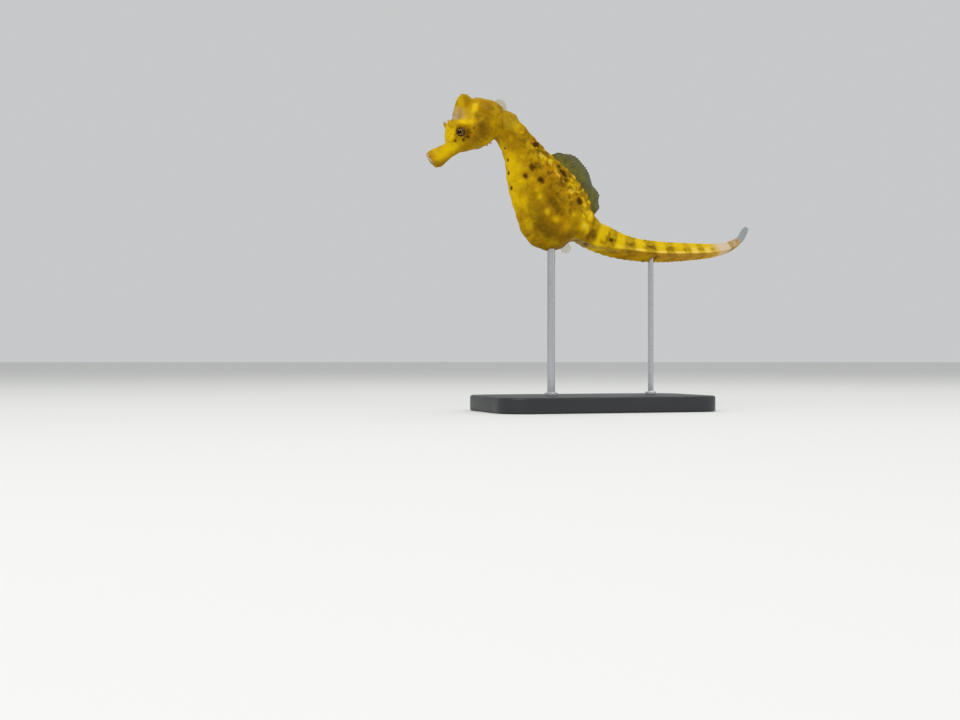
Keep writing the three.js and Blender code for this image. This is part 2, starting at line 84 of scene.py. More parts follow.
def pick_edges(piece, wanted):
    """In edit mode, with only the edges selected whose two ends pass the test."""
    bpy.ops.object.mode_set(mode="EDIT")
    bpy.ops.mesh.select_mode(type="EDGE")
    bpy.ops.mesh.select_all(action="DESELECT")
    bpy.ops.object.mode_set(mode="OBJECT")
    points = piece.data.vertices
    for edge in piece.data.edges:
        edge.select = wanted(points[edge.vertices[0]].co, points[edge.vertices[1]].co)
    bpy.ops.object.mode_set(mode="EDIT")


def settle(piece, name):
    """The piece gets its name, and its place goes into its mesh."""
    work_on(piece)
    piece.name = name
    piece.data.name = name
    bpy.ops.object.transform_apply(location=True, rotation=True, scale=True)


def apply_all(piece):
    """Every modifier on the piece is applied, in order."""
    work_on(piece)
    for modifier in list(piece.modifiers):
        bpy.ops.object.modifier_apply(modifier=modifier.name)


def edit_all(piece):
    """In edit mode, with the whole piece selected."""
    work_on(piece)
    bpy.ops.object.mode_set(mode="EDIT")
    bpy.ops.mesh.select_all(action="SELECT")


def outwards(piece):
    """Doubles are merged and every face is turned to point outwards."""
    edit_all(piece)
    bpy.ops.mesh.remove_doubles(threshold=MERGE)
    bpy.ops.mesh.normals_make_consistent(inside=False)
    bpy.ops.object.mode_set(mode="OBJECT")


low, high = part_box("stand_base")
deselect()
bpy.ops.mesh.primitive_cube_add(size=1, location=(low + high) / 2, scale=high - low)
base = bpy.context.object
settle(base, "display_base")
pick_edges(base, lambda a, b: abs(a.z - b.z) > BASE_EDGE)
bpy.ops.mesh.bevel(offset=BASE_CORNER, segments=12, affect="EDGES")
pick_edges(base, lambda a, b: abs(a.z - b.z) < BASE_EDGE)
bpy.ops.mesh.bevel(offset=BASE_EDGE, segments=4, affect="EDGES")
outwards(base)
bpy.ops.object.shade_smooth_by_angle(angle=math.radians(40))


def linear(hex_colour):
    """An sRGB hex colour as the linear colour that a shader reads."""
    parts = [int(hex_colour[i : i + 2], 16) / 255 for i in (1, 3, 5)]
    return [p / 12.92 if p <= 0.04045 else ((p + 0.055) / 1.055) ** 2.4 for p in parts] + [1]


def add(tree, kind, sockets=None, **settings):
    """Adds a shader node. A socket gets a number, a colour, or a node or output to link to."""
    made = tree.nodes.new("ShaderNode" + kind)
    for name, value in settings.items():
        setattr(made, name, value)
    for name, value in (sockets or {}).items():
        if isinstance(value, bpy.types.Node):
            value = next(output for output in value.outputs if output.enabled)
        if isinstance(value, bpy.types.NodeSocket):
            tree.links.new(value, made.inputs[name])
        else:
            made.inputs[name].default_value = value
    return made


def new_material(name):
    """A new material's node tree, and the output of its texture coordinates."""
    material = bpy.data.materials.new(name)
    material.use_nodes = True
    material.node_tree.nodes.clear()
    tree = material.node_tree
    return material, tree, add(tree, "TexCoord").outputs["Object"]


# Black cast acrylic, sanded satin: a near-black plastic whose sanding blurs every reflection.
# The sanding is too fine to show, so its marks are drawn 0.4 mm apart.
acrylic, tree, where = new_material("black_cast_acrylic_satin")
along = add(tree, "Mapping", {"Vector": where, "Scale": (0.15, 1, 1)})
sanding = add(tree, "TexNoise", {"Vector": along, "Scale": 1 / (0.4 * MM), "Detail": 3})
haze = add(tree, "TexNoise", {"Vector": where, "Scale": 1 / (9 * MM), "Detail": 4})
sockets = {"Value": haze, "From Min": 0.3, "From Max": 0.7, "To Min": 0.36, "To Max": 0.5}
worn = add(tree, "MapRange", sockets)
sockets = {"Factor": haze, "A": linear("#222427"), "B": linear("#2c2e31")}
tint = add(tree, "Mix", sockets, data_type="RGBA")
rough = add(tree, "Bump", {"Height": sanding, "Strength": 0.12, "Distance": 0.04 * MM})
sockets = {"Base Color": tint, "Roughness": worn, "Normal": rough, "IOR": 1.49}
shader = add(tree, "BsdfPrincipled", sockets)
add(tree, "OutputMaterial", {"Surface": shader})
base.data.materials.append(acrylic)
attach(base, "root")
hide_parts("stand_base")

# ---------- Rods ----------
# Two stainless steel rods hold the animal up, one in the belly and one under the tail.
# Each is pressed into the base and has a turned collar that stands on it.

COLLAR_WIDER = 1.1 * MM
COLLAR_HEIGHT = 1.2 * MM
ROUND_OFF = 0.3 * MM  # turned off the rod's ends and the collar's top edge
FILLET = 0.25 * MM  # left between the collar and the rod
base_top = high.z
rods = []
for node in ("stand_rod_front", "stand_rod_rear"):
    low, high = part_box(node)
    middle = (low + high) / 2
    radius = (high.x - low.x) / 2
    wide = radius + COLLAR_WIDER
    collar_top = base_top + COLLAR_HEIGHT
    profile = [
        (low.z + ROUND_OFF, radius),
        (base_top, radius),
        (base_top, wide - ROUND_OFF / 2),
        (base_top + ROUND_OFF / 2, wide),
        (collar_top - ROUND_OFF, wide),
        (collar_top, wide - ROUND_OFF),
        (collar_top, radius + FILLET),
        (collar_top + FILLET, radius),
        (high.z - ROUND_OFF, radius),
        (high.z, radius - ROUND_OFF),
    ]
    foot = (middle.x, middle.y, low.z)
    at, size = low.z, radius - ROUND_OFF
    deselect()
    bpy.ops.mesh.primitive_circle_add(vertices=48, radius=size, fill_type="NGON", location=foot)
    rod = bpy.context.object
    settle(rod, node.replace("stand_", "steel_"))
    edit_all(rod)
    for z, r in profile:
        bpy.ops.mesh.extrude_region_move(TRANSFORM_OT_translate={"value": (0, 0, z - at)})
        pivot = (middle.x, middle.y, z)
        bpy.ops.transform.resize(value=(r / size, r / size, 1), center_override=pivot)
        at, size = z, r
    bpy.ops.object.mode_set(mode="OBJECT")
    outwards(rod)
    bpy.ops.object.shade_smooth_by_angle(angle=math.radians(35))
    rods.append((rod, node))

# Stainless steel, turned and brushed round the rod: grey metal with faint hoops of light.
# The brush lines are too fine to show, so they are drawn 1.5 mm apart.
steel, tree, where = new_material("stainless_steel_brushed")
across = add(tree, "Mapping", {"Vector": where, "Scale": (0.05, 0.05, 1)})
brush = add(tree, "TexNoise", {"Vector": across, "Scale": 1 / (1.5 * MM), "Detail": 2})
sockets = {"Value": brush, "From Min": 0.3, "From Max": 0.7, "To Min": 0.24, "To Max": 0.34}
worn = add(tree, "MapRange", sockets)
lines = add(tree, "Bump", {"Height": brush, "Strength": 0.1, "Distance": 0.02 * MM})
sockets = {"Base Color": linear("#c3c5c8"), "Metallic": 1, "Roughness": worn, "Normal": lines}
shader = add(tree, "BsdfPrincipled", sockets)
add(tree, "OutputMaterial", {"Surface": shader})
for rod, node in rods:
    rod.data.materials.append(steel)
    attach(rod, "root")
    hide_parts(node)

# ---------- Skin: rough shape ----------
# A seahorse has no scales: thin skin lies tight over a head of bony plates and a trunk and tail
# of bony rings. The model's skin is one cast shell, so the solids' flesh is joined and rounded
# before its folds, lids and knobs are put on.

FLESH = ["head", "snout", "coronet", "gill_cover_left", "gill_cover_right", "neck"]
FLESH += ["trunk_upper", "trunk_lower"] + [f"tail_{i}" for i in range(1, 6)]
JOIN_GROW = 0.25 * MM  # the solids grow by this to close the gaps, and shrink back after
ROUGH_VOXEL = 0.32 * MM
ROUGH_ROUNDS = 26  # of smoothing, enough to melt the solids' facets and seams
EYE = np.array([-34.8, -3.35, 15.7])  # the left eye, in millimetres from the trunk's middle
low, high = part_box("eye_left")
EYE_RADIUS = (high.y - low.y) / 2 / MM
SHIFT = np.array((low + high) / 2) / MM - EYE


def own(points):
    """Points of the frame as millimetres from the trunk's middle."""
    return points / MM - SHIFT


def place(x, y, z):
    """A point given in millimetres from the trunk's middle, in the frame's metres."""
    return Vector((np.array([x, y, z]) + SHIFT) * MM)


def points_of(piece, what="co"):
    """The piece's points as rows of three numbers, or what else the mesh holds for each."""
    flat = np.empty(len(piece.data.vertices) * 3, np.float32)
    piece.data.vertices.foreach_get(what, flat)
    return flat.reshape(-1, 3).astype(float)


def move_points(piece, points):
    piece.data.vertices.foreach_set("co", points.astype(np.float32).ravel())
    piece.data.update()


def relax(piece, rounds):
    """Evens out bumps without shrinking: a step to the neighbours' mean, and a longer one back."""
    pairs = np.empty(len(piece.data.edges) * 2, np.int32)
    piece.data.edges.foreach_get("vertices", pairs)
    start = np.concatenate([pairs[0::2], pairs[1::2]])
    end = np.concatenate([pairs[1::2], pairs[0::2]])
    points = points_of(piece)
    count = np.bincount(start, minlength=len(points))[:, None]
    for step in range(2 * rounds):
        mean = np.stack([np.bincount(start, points[end, k], len(points)) for k in range(3)], 1)
        points += (0.5, -0.52)[step % 2] * (mean / count - points)
    move_points(piece, points)


def remesh(piece, voxel):
    """The piece becomes one closed shell of small even faces."""
    shell = piece.modifiers.new("one shell", "REMESH")
    shell.mode = "VOXEL"
    shell.voxel_size = voxel
    shell.adaptivity = 0
    apply_all(piece)


def join(pieces):
    """All the pieces as one object, which keeps the first one's name."""
    deselect()
    for piece in pieces:
        piece.select_set(True)
    bpy.context.view_layer.objects.active = pieces[0]
    bpy.ops.object.join()
    return pieces[0]


copies = []
for name in FLESH:
    copy = bpy.data.objects.new("flesh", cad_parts[name].data.copy())
    copy.data.materials.clear()
    bpy.context.collection.objects.link(copy)
    outwards(copy)
    grow = copy.modifiers.new("grow", "DISPLACE")
    grow.mid_level = 0
    grow.strength = JOIN_GROW
    apply_all(copy)
    copies.append(copy)
skin = join(copies)
settle(skin, "seahorse_skin")
remesh(skin, ROUGH_VOXEL)
move_points(skin, points_of(skin) - points_of(skin, "normal") * JOIN_GROW)
relax(skin, ROUGH_ROUNDS)

# ---------- Skin: knobs, lids and spines ----------
# The head's spines, the crown's points, the lids round the eyes and the pads that carry the
# breast fins stand out from the head's plates. They are modelled on, left and right alike.

FINE_VOXEL = 0.27 * MM
clay = [skin]


def on_both_sides(make, at, facing, **sizes):
    """Clay of a simple shape on each side, at a place and facing a way. y is outwards."""
    for hand in (-1, 1):
        deselect()
        way = Vector((facing[0], hand * facing[1], facing[2]))
        turned = way.to_track_quat("Z", "Y").to_euler()
        make(location=place(at[0], hand * at[1], at[2]), rotation=turned, **sizes)
        clay.append(bpy.context.object)


def spine(start, end, thick, thin):
    """A spine on each side, from its root to its blunt point."""
    line = np.subtract(end, start)
    sizes = {"radius1": thick * MM, "radius2": thin * MM, "depth": np.linalg.norm(line) * MM}
    middle = np.add(start, end) / 2
    on_both_sides(bpy.ops.mesh.primitive_cone_add, middle, line, vertices=20, **sizes)


def hoop(centre, facing, wide, thick):
    """A ring of skin on each side, such as a lid."""
    sizes = {"major_radius": wide * MM, "minor_radius": thick * MM}
    sizes |= {"major_segments": 40, "minor_segments": 12}
    on_both_sides(bpy.ops.mesh.primitive_torus_add, centre, facing, **sizes)


hoop((-34.8, 3.6, 15.7), (-0.12, 1, 0), 2, 0.75)  # the wall of the eye's socket
hoop((-34.85, 4.12, 15.7), (-0.12, 1, 0), 2.1, 0.36)  # the lid round the eye
spine((-36.6, 2.95, 18), (-38.5, 2.75, 19.1), 1.05, 0.7)  # the brow
spine((-38.3, 2.75, 18.8), (-39.4, 2.3, 20.6), 0.75, 0.24)
spine((-23.4, 1.9, 14.6), (-22.4, 2.5, 12.2), 1, 0.5)  # the cheek
spine((-33, 0.3, 29.4), (-33, 0.5, 30.75), 0.9, 0.5)  # the crown
spine((-33.9, 0.9, 28.8), (-34.3, 1.1, 29.6), 0.6, 0.3)
spine((-31.6, 0.6, 29.6), (-31.2, 0.75, 30.4), 0.6, 0.3)
spine((-21.9, 0.9, 28), (-21.5, 1.1, 28.9), 0.7, 0.3)  # the nape
for hand in (-1, 1):  # the pads under the breast fins
    deselect()
    pad = {"location": place(-19.6, hand * 4.5, 20.4), "rotation": (0, math.radians(12), 0)}
    pad["scale"] = (0.9 * MM, 0.8 * MM, 2.1 * MM)
    bpy.ops.mesh.primitive_uv_sphere_add(segments=24, ring_count=16, **pad)
    clay.append(bpy.context.object)
for piece in clay[1:]:
    settle(piece, "clay")
skin = join(clay)
remesh(skin, FINE_VOXEL)
relax(skin, 3)

# ---------- Skin: bony rings ----------
# Twelve rings go round the trunk and forty-four round the tail. Seven ridges run down the trunk
# and four down the tail, with a low knob where each ridge crosses a ring. The skin is drawn onto
# the same spine and ridges as the solids have, and then gets its ridges, joints and knobs.

TRUNK_RINGS = 12
TAIL_RINGS = 44
RING_SHRINK = 0.45  # share by which the last ring is shorter than the first one on the tail
TAIL_ROLL = math.radians(36)  # about the tail's own line
ROLLED_BY = 0.25  # share of the tail over which it rolls
ROLL_SLIMS = 0.227  # share the tail slims by as it rolls
TAIL_RADII = 4.85, 1.35  # at the hip and at the tip
TAIL_TAPER = 1.5
SAMPLES = 1600  # along the spine, from the skull to the tail's tip
COARSE = 16  # the first search for the nearest sample takes every sixteenth
CHUNK = 20000  # points are searched in lots of this many, to save memory
# x, z, reach to the back, reach to the belly and half the width, from the skull to the hip
TRUNK = [
    (-25, 21, 4.6, 4.4, 3.2), (-18.6, 19.8, 6.2, 5.2, 4.7), (-13.9, 15.4, 5.9, 5.6, 4.7),
    (-10, 9.6, 7.4, 7, 5.2), (-6, 2.2, 10.2, 10.2, 6.3), (-1.1, -5.4, 12.5, 13.2, 7.3),
    (4.3, -12.2, 12.7, 15.7, 7.7), (9.3, -16.2, 11.8, 12.6, 7.3), (12, -17.7, 10.4, 5.9, 6.6),
    (14.4, -18.8, 8.3, 4.4, 5.8),
]
TAIL = [(21.3, -21), (29.3, -23.7), (38.9, -25.3), (50.6, -25.6), (64.7, -24.9), (80.9, -23.3)]
TAIL += [(90.6, -21.2), (99, -17.4), (104, -12)]
# The section's corners as shares of the reach and of the half width, from the back to the keel
TRUNK_SECTION = [(0.95, 0), (0.985, 0.27), (1, 0.52), (0.52, 0.8), (0.08, 1), (-0.3, 0.95)]
TRUNK_SECTION += [(-0.62, 0.8), (-0.86, 0.42), (-1, 0)]
TAIL_SECTION = [(0.93, 0), (0.93, 0.42), (0.95, 0.84), (0.48, 0.88), (0, 0.92), (-0.48, 0.88)]
TAIL_SECTION += [(-0.95, 0.84), (-0.95, 0.42), (-0.95, 0)]


def ease(value, a, b):
    """Smooth step from 0 at a to 1 at b."""
    t = np.clip((value - a) / (b - a), 0, 1)
    return t * t * (3 - 2 * t)


def fade(value, a, b):
    """Smooth step from 1 at a down to 0 at b."""
    return ease(-value, -b, -a)


def bump(distance, width):
    """1 at distance 0, falling to 0 over about twice the width."""
    return np.exp(-((distance / width) ** 2))


def through(points, places, knot=0.0):
    """A smooth line through points. With knot 0.5 their spacing counts, as on the spine."""
    points = np.asarray(points, float).reshape(len(points), -1)
    ends = np.vstack([2 * points[0] - points[1], points, 2 * points[-1] - points[-2]])
    first = np.clip(np.floor(places).astype(int), 0, len(points) - 2)
    t = (places - first)[:, None]
    a, b, c, d = (ends[first + k] for k in range(4))
    ab, bc, cd = (
        np.linalg.norm(q - p, axis=1)[:, None] ** knot for p, q in ((a, b), (b, c), (c, d))
    )
    leave = ((b - a) / ab - (c - a) / (ab + bc) + (c - b) / bc) * bc
    arrive = ((c - b) / bc - (d - b) / (bc + cd) + (d - c) / cd) * bc
    square, cube = 3 * (c - b) - 2 * leave - arrive, 2 * (b - c) + leave + arrive
    return b + leave * t + square * t**2 + cube * t**3


stations = [(x, 0.004 * max(0, x - 14) ** 2, z) for x, z, *_ in TRUNK + TAIL]
places = np.linspace(0, len(stations) - 1, SAMPLES)
centre = through(stations, places, 0.5)
steps = np.linalg.norm(np.diff(centre, axis=0), axis=1)
length = np.concatenate([[0], np.cumsum(steps)])
ahead = np.gradient(centre, axis=0)
ahead /= np.linalg.norm(ahead, axis=1, keepdims=True)
right = np.stack([-ahead[:, 1], ahead[:, 0], 0 * length], 1)
right /= np.linalg.norm(right, axis=1, keepdims=True)
back = np.cross(ahead, right)
shoulder = np.interp(1, places, length)
hip = np.interp(len(TRUNK) - 1, places, length)
along_tail = np.clip((length - hip) / (length[-1] - hip), 0, 1)
rolled = ease(along_tail, 0, ROLLED_BY)
roll = (TAIL_ROLL * rolled)[:, None]
up = back * np.cos(roll) + right * np.sin(roll)
out = right * np.cos(roll) - back * np.sin(roll)
taper = TAIL_RADII[1] + (TAIL_RADII[0] - TAIL_RADII[1]) * (1 - along_tail**TAIL_TAPER)
taper = (taper * (1 - ROLL_SLIMS * rolled))[:, None]
reach = through([s[2:] for s in TRUNK], np.minimum(places, len(TRUNK) - 1))
reach += (taper - reach) * ease(length, hip, hip + 6)[:, None]
squared = ease(length, hip - 4, hip + 7)
shares = 1 - RING_SHRINK * np.arange(TAIL_RINGS) / TAIL_RINGS
trunk_ends = shoulder + (hip - shoulder) / TRUNK_RINGS * np.arange(TRUNK_RINGS + 1)
tail_ends = hip + (length[-1] - hip) * np.cumsum(shares) / shares.sum()
ring_ends = np.concatenate([trunk_ends, tail_ends])
ring_sizes = np.diff(ring_ends)


def section(corners):
    """How far a section's rounded outline lies from its middle, at each degree from the back."""
    outline = through(corners, np.linspace(0, len(corners) - 1, 400))
    turned = np.degrees(np.arctan2(np.abs(outline[:, 1]), outline[:, 0]))
    return np.interp(np.arange(181), turned, np.hypot(*outline.T))


trunk_outline, tail_outline = section(TRUNK_SECTION), section(TAIL_SECTION)


class Body:
    """Where points lie on the ringed body: their ring, their turn from the back, and their side."""

    def __init__(self, points):
        rough = np.arange(0, SAMPLES, COARSE)
        at = np.empty(len(points), int)
        for i in range(0, len(points), CHUNK):
            lot = points[i : i + CHUNK, None]
            near = rough[((lot - centre[None, rough]) ** 2).sum(2).argmin(1)]
            window = np.clip(near[:, None] + np.arange(-COARSE, COARSE + 1), 0, SAMPLES - 1)
            best = ((lot - centre[window]) ** 2).sum(2).argmin(1)
            at[i : i + CHUNK] = window[np.arange(len(best)), best]
        off = points - centre[at]
        self.length = length[at] + np.clip((off * ahead[at]).sum(1), -0.1, 0.1)
        high, wide = (off * up[at]).sum(1), (off * out[at]).sum(1)
        self.hand = np.sign(wide)
        to_edge = np.where(high > 0, reach[at, 0], reach[at, 1])
        u, w = high / to_edge, np.abs(wide) / reach[at, 2]
        self.turn = np.degrees(np.arctan2(w, u))
        self.far = np.hypot(u, w)
        self.radius = np.hypot(high, wide)
        self.ring = np.interp(self.length, ring_ends, np.arange(len(ring_ends)))
        self.ring_size = ring_sizes[np.clip(self.ring.astype(int), 0, len(ring_sizes) - 1)]
        self.squared = squared[at]
        self.edge = np.interp(self.turn, np.arange(181), trunk_outline)
        on_tail = np.interp(self.turn, np.arange(181), tail_outline)
        self.edge += (on_tail - self.edge) * self.squared
        across = off - ahead[at] * (off * ahead[at]).sum(1)[:, None]
        self.outward = across / np.maximum(self.radius, 1e-6)[:, None]
        self.scale = np.clip(reach[at, 2] / 5, 0.2, 1.25)


def cloud(at, size, seed=0):
    """Smooth noise, -1 to 1, whose lumps are size millimetres across, at each of the points."""
    return np.array([noise.noise(Vector(p)) for p in at / size + 17.3 * seed])


points = own(points_of(skin))
body = Body(points)
NECK_CUT = np.array([-20.3, 0, 14.5])  # the rings start behind this point's plane
NECK_FACING = np.array([0.94, 0, -0.342])
behind = (points - NECK_CUT) @ NECK_FACING
ringed = ease(body.ring, 0.2, 1.7) * ease(behind, 0.2, 3)
ringed *= ease(body.length, 0, 1) * (body.far < 1.6)
ringed *= ease(length[-1] - body.length, 0.15, 1.2)  # the tail's end stays round
wanted = body.radius / np.maximum(body.far, 1e-6) * body.edge
points += body.outward * ((wanted - body.radius) * ringed)[:, None]

body = Body(points)
from_middle = (body.ring % 1 - 0.5) * body.ring_size
from_joint = 0.5 * body.ring_size - np.abs(from_middle)
dice = np.random.default_rng(7)
knob_sizes = 0.75 + 0.5 * dice.random((8, TRUNK_RINGS + TAIL_RINGS + 1, 2))
which_ring = np.clip(body.ring.astype(int), 0, TRUNK_RINGS + TAIL_RINGS)
which_side = (body.hand > 0).astype(int)
# Each ridge's turn on the trunk and on the tail, and the heights there of it and of its knobs
BODY_RIDGES = [
    (28, 41.5, 0.24, 0.15, 0.2, 0.12), (106, 95, 0.18, 0.0, 0.24, 0.03),
    (143, 138.5, 0.12, 0.18, 0.12, 0.12), (180, 180, 0.1, 0.0, 0.05, 0.0),
]


def dabs(spots, ragged=0, soft=True):
    """Dabs on both sides of the ringed body, each side's a little different. A dab is its ring,
    its turn from the back, its half sizes in rings and degrees, and its strength."""
    total = np.zeros(len(body.ring))
    for at_ring, at_turn, rings, degrees, strength in spots:
        for hand in (-1, 1):
            shift = dice.uniform(-0.3, 0.3) * (hand > 0)
            swing = dice.uniform(-8, 8) * (hand > 0)
            across = (body.turn - at_turn - swing) / degrees
            off = np.hypot((body.ring - at_ring - shift) / rings, across) * (1 + ragged)
            dab = np.exp(-(np.maximum(off, 0) ** (2 if soft else 3)))
            total = np.maximum(total, strength * dab * (body.hand == hand))
    return total * ringed


# Knobs that stand out from the rest, in bright yellow
BRIGHT_KNOBS = [
    (7.05, 109, 0.26, 5, 0.55), (8.37, 109, 0.25, 4, 0.75), (9.27, 106, 0.2, 4, 0.75),
    (10.23, 82, 0.2, 4, 0.5), (8.78, 67, 0.26, 5, 0.45), (7.9, 45, 0.22, 6, 0.5),
    (8.5, 38, 0.25, 6, 0.6), (11.88, 84, 0.36, 9, 0.9), (12.15, 51, 0.34, 8, 1),
    (11.3, 66, 0.22, 5, 0.5), (4.45, 47, 0.24, 7, 0.8), (4.9, 40, 0.2, 6, 0.5),
    (1.7, 57, 0.14, 6, 0.4), (13.6, 52, 0.4, 8, 0.9),
]
dice = np.random.default_rng(11)
relief = 0.4 * dabs(BRIGHT_KNOBS)
knobs = np.zeros(len(points))
for i, (on_trunk, on_tail, ridge, tail_ridge, knob, tail_knob) in enumerate(BODY_RIDGES):
    turn = on_trunk + (on_tail - on_trunk) * body.squared
    arc = np.radians(body.turn - turn) * body.radius
    height = ridge + (tail_ridge - ridge) * body.squared
    relief += height * body.scale * bump(arc, 0.7 * body.scale + 0.25)
    tall = knob + (tail_knob - knob) * body.squared
    varied = knob_sizes[i, which_ring, which_side]
    near = bump(np.hypot(arc, from_middle), (0.7 * body.scale + 0.15) * varied)
    relief += tall * body.scale * varied * near
    knobs = np.maximum(knobs, near * (tall > 0.1))
relief += 0.1 * body.scale * (bump(from_middle, 0.3 * body.ring_size) - 0.4)
relief -= 0.09 * body.scale * bump(from_joint, 0.28)
relief += 0.14 * body.scale * cloud(points, 3.5) + 0.05 * body.scale * cloud(points, 1.2)
before_vent = np.linalg.norm(points - [7.8, 0, -23.8], axis=1)
relief += 1.7 * bump(before_vent, 3.3)  # the belly hangs full before the vent
points += body.outward * (relief * ringed)[:, None]
move_points(skin, (points + SHIFT) * MM)

# ---------- Skin: head ----------
# The head's plates meet in low ridges, and the gill cover is ribbed like a fan from its hinge.
# Two nostrils lie before each eye, the gill opens by a pore at the nape, and the mouth is small.

points = own(points_of(skin))
normals = points_of(skin, "normal")
head = 1 - ringed
mirrored = points.copy()
mirrored[:, 1] = np.abs(points[:, 1])


def from_line(*corners):
    """Distance of each point from a line of corners, on both sides alike. y is outwards."""
    corners = np.array(corners, float)
    best = np.full(len(mirrored), 1e9)
    for a, b in zip(corners, corners[1:]):
        t = np.clip(((mirrored - a) @ (b - a)) / ((b - a) @ (b - a)), 0, 1)
        best = np.minimum(best, np.linalg.norm(mirrored - a - t[:, None] * (b - a), axis=1))
    return best


def from_point(x, y, z):
    """Distance of each point from a point, on both sides alike."""
    return np.linalg.norm(mirrored - [x, y, z], axis=1)


x, side, z = mirrored.T
cover = np.hypot((x + 27.2) / 5.9, (z - 17) / 6.1)
on_cover = ease(side, 2.2, 3.4) * fade(cover, 0.8, 1.02) * (x > -32.5)
fan = np.arctan2(z - 15.6, x + 32.2)
mouth = [(-46.3, 0, 7.1), (-45.9, 1.2, 6.5), (-45.1, 1.9, 5.4), (-44.5, 2.1, 4.3)]
nostrils = [(-39, 2.4, 17.2), (-38.4, 2.7, 16.5)]
gill_pore = (-22.7, 2.9, 22.9)
# Each ridge's height, negative for a groove, its half width, and the corners of its line
PLATE_LINES = [
    (0.32, 0.65, (-30.4, 3.4, 18.4), (-29.2, 3.6, 21.6), (-28, 2.4, 26.2)),
    (0.3, 0.65, (-27.5, 2.4, 26), (-24.3, 3.3, 24.2), (-20.5, 4, 21.6)),
    (0.25, 0.6, (-27.4, 0, 29.2), (-23, 0, 28.9), (-19.8, 0, 28)),
    (0.28, 0.6, (-37.2, 3.3, 13.4), (-40, 2.7, 10.8), (-42.5, 2.2, 8.6)),
    (-0.22, 0.4, (-38.4, 2.6, 19), (-37, 3.2, 18), (-36.6, 3.6, 15.4)),
    (0.12, 0.5, (-38, 2.9, 11), (-44, 2.3, 6.8)),
    (-0.3, 0.26, *mouth),
]
relief = np.zeros(len(points))
for height, width, *corners in PLATE_LINES:
    relief += height * bump(from_line(*corners), width)
relief += 0.22 * bump(from_line(*mouth) - 0.6, 0.35)  # the lips
for nostril in nostrils:
    relief -= 0.3 * bump(from_point(*nostril), 0.3)
relief += 0.12 * bump(from_point(-38.7, 2.6, 16.8) - 0.85, 0.25)  # the rim round both nostrils
relief -= 0.5 * bump(from_point(*gill_pore), 0.42)
relief += 0.2 * bump(from_point(*gill_pore) - 0.85, 0.3)
relief += 0.09 * np.cos(26 * fan) * on_cover * ease(cover, 0.2, 0.75)  # the gill cover's ribs
rear = ease(x + 27.2, -1.5, 1.5)
relief += 0.3 * bump((cover - 0.93) * 6, 0.5) * rear * ease(side, 2, 3)  # its raised rim
relief -= 0.35 * bump((cover - 1.09) * 6, 0.35) * rear * ease(side, 1.8, 2.8)
relief += 0.1 * cloud(points, 2.6) + 0.05 * cloud(points, 1)
on_crown = ease(z, 20.5, 22.5) * fade(x, -30, -28) * ease(side, 0.5, 1.2)
relief += 0.05 * np.cos((x + 0.3 * z) * 5.2) * on_crown  # fine ribs up the crown
points += normals * (relief * head)[:, None]
move_points(skin, (points + SHIFT) * MM)
relax(skin, 1)
work_on(skin)
bpy.ops.object.shade_smooth()

# ---------- Skin: markings ----------
# The animal is golden yellow, shaded ochre and brown, with dark brown spots down the back and
# flank, brown bands round the tail, and white tips. Shade is painted on faces that look down, on
# the tail's lower face, behind the ridge before the eye and in the mouth, and highlights along the
# tail's lower ridge, on knobs, on the back and hip, and on the plate before the eye.

points = own(points_of(skin))
body = Body(points)
ring, turn = body.ring, body.turn
mirrored = points.copy()
mirrored[:, 1] = np.abs(points[:, 1])
x, side, z = mirrored.T
head = (1 - ringed) * (x < 0)
# Painted shade: the skin is painted darker where it faces down, as the shade under the body.
facing_down_shade = ease(-points_of(skin, "normal")[:, 2], 0.05, 0.9)
wander = 0.3 * cloud(points, 1.1) + 0.2 * cloud(points, 0.5, 1)
patchy = cloud(points, 4.2, 2)


def head_dabs(spots):
    """Small round dabs on both sides of the head, each given by x, z, its radius and strength."""
    painted = np.zeros(len(points))
    for at_x, at_z, radius, strength in spots:
        off = np.hypot(x - at_x, z - at_z) * (1 + wander)
        painted = np.maximum(painted, strength * bump(off, radius) * (side > 0.8))
    return painted * head


def patch(at_x, at_z, long, high):
    """A soft oval on both sides of the head, 1 in its middle, given by its place and half sizes."""
    return bump(np.hypot((x - at_x) / long, (z - at_z) / high), 1)


def strongest(*layers):
    """The strongest of several layers of one paint, at each point."""
    return np.maximum.reduce(layers)


# Dark brown spots: on the neck, the flank and the back, in the tail's bands, on the keel and face
DARK_SPOTS = [
    (3.1, 41, 0.32, 13, 1.1), (2.72, 33, 0.2, 10, 0.4), (4.15, 62, 0.2, 5, 0.4),
    (5, 76, 0.2, 5, 0.4), (4.6, 93, 0.4, 9, 0.85), (4.98, 115, 0.27, 6, 0.85),
    (5.92, 90, 0.38, 7.5, 0.9), (6.5, 38, 0.8, 4.5, 0.95), (5.8, 35, 0.28, 6, 0.8),
    (7.25, 43, 0.28, 7, 0.75), (7.6, 50, 0.2, 5, 0.5), (10, 49, 0.5, 8, 1.05),
    (9.2, 44, 0.2, 5, 0.5), (10.9, 60, 0.25, 5, 0.4), (1.1, 115, 0.2, 6, 0.6),
    (11.3, 62, 0.3, 4, 0.35), (12.75, 123, 0.32, 9, 0.5), (13.1, 84, 0.3, 11, 0.5),
    (12.95, 55, 0.22, 8, 0.45), (13.1, 168, 0.45, 16, 0.75), (16.05, 102, 0.42, 14, 0.9),
    (15.6, 70, 0.3, 9, 0.35), (19.35, 110, 0.5, 12, 0.5), (23, 98, 0.6, 17, 0.6),
    (27, 85, 0.5, 14, 0.3),
]
FACE_DOTS = [
    (-36.7, 12.5, 0.6, 0.85), (-33.7, 13, 0.65, 0.95), (-32, 14.1, 0.7, 0.95),
    (-29.6, 14.4, 0.45, 0.7), (-32.3, 16.4, 0.55, 0.6), (-29.9, 17.3, 0.6, 0.65),
    (-38.9, 16.2, 0.26, 0.6), (-38.2, 15.1, 0.24, 0.6), (-38.8, 14.1, 0.2, 0.5),
    (-37.7, 13.9, 0.22, 0.5), (-38, 17.5, 0.22, 0.5),
]
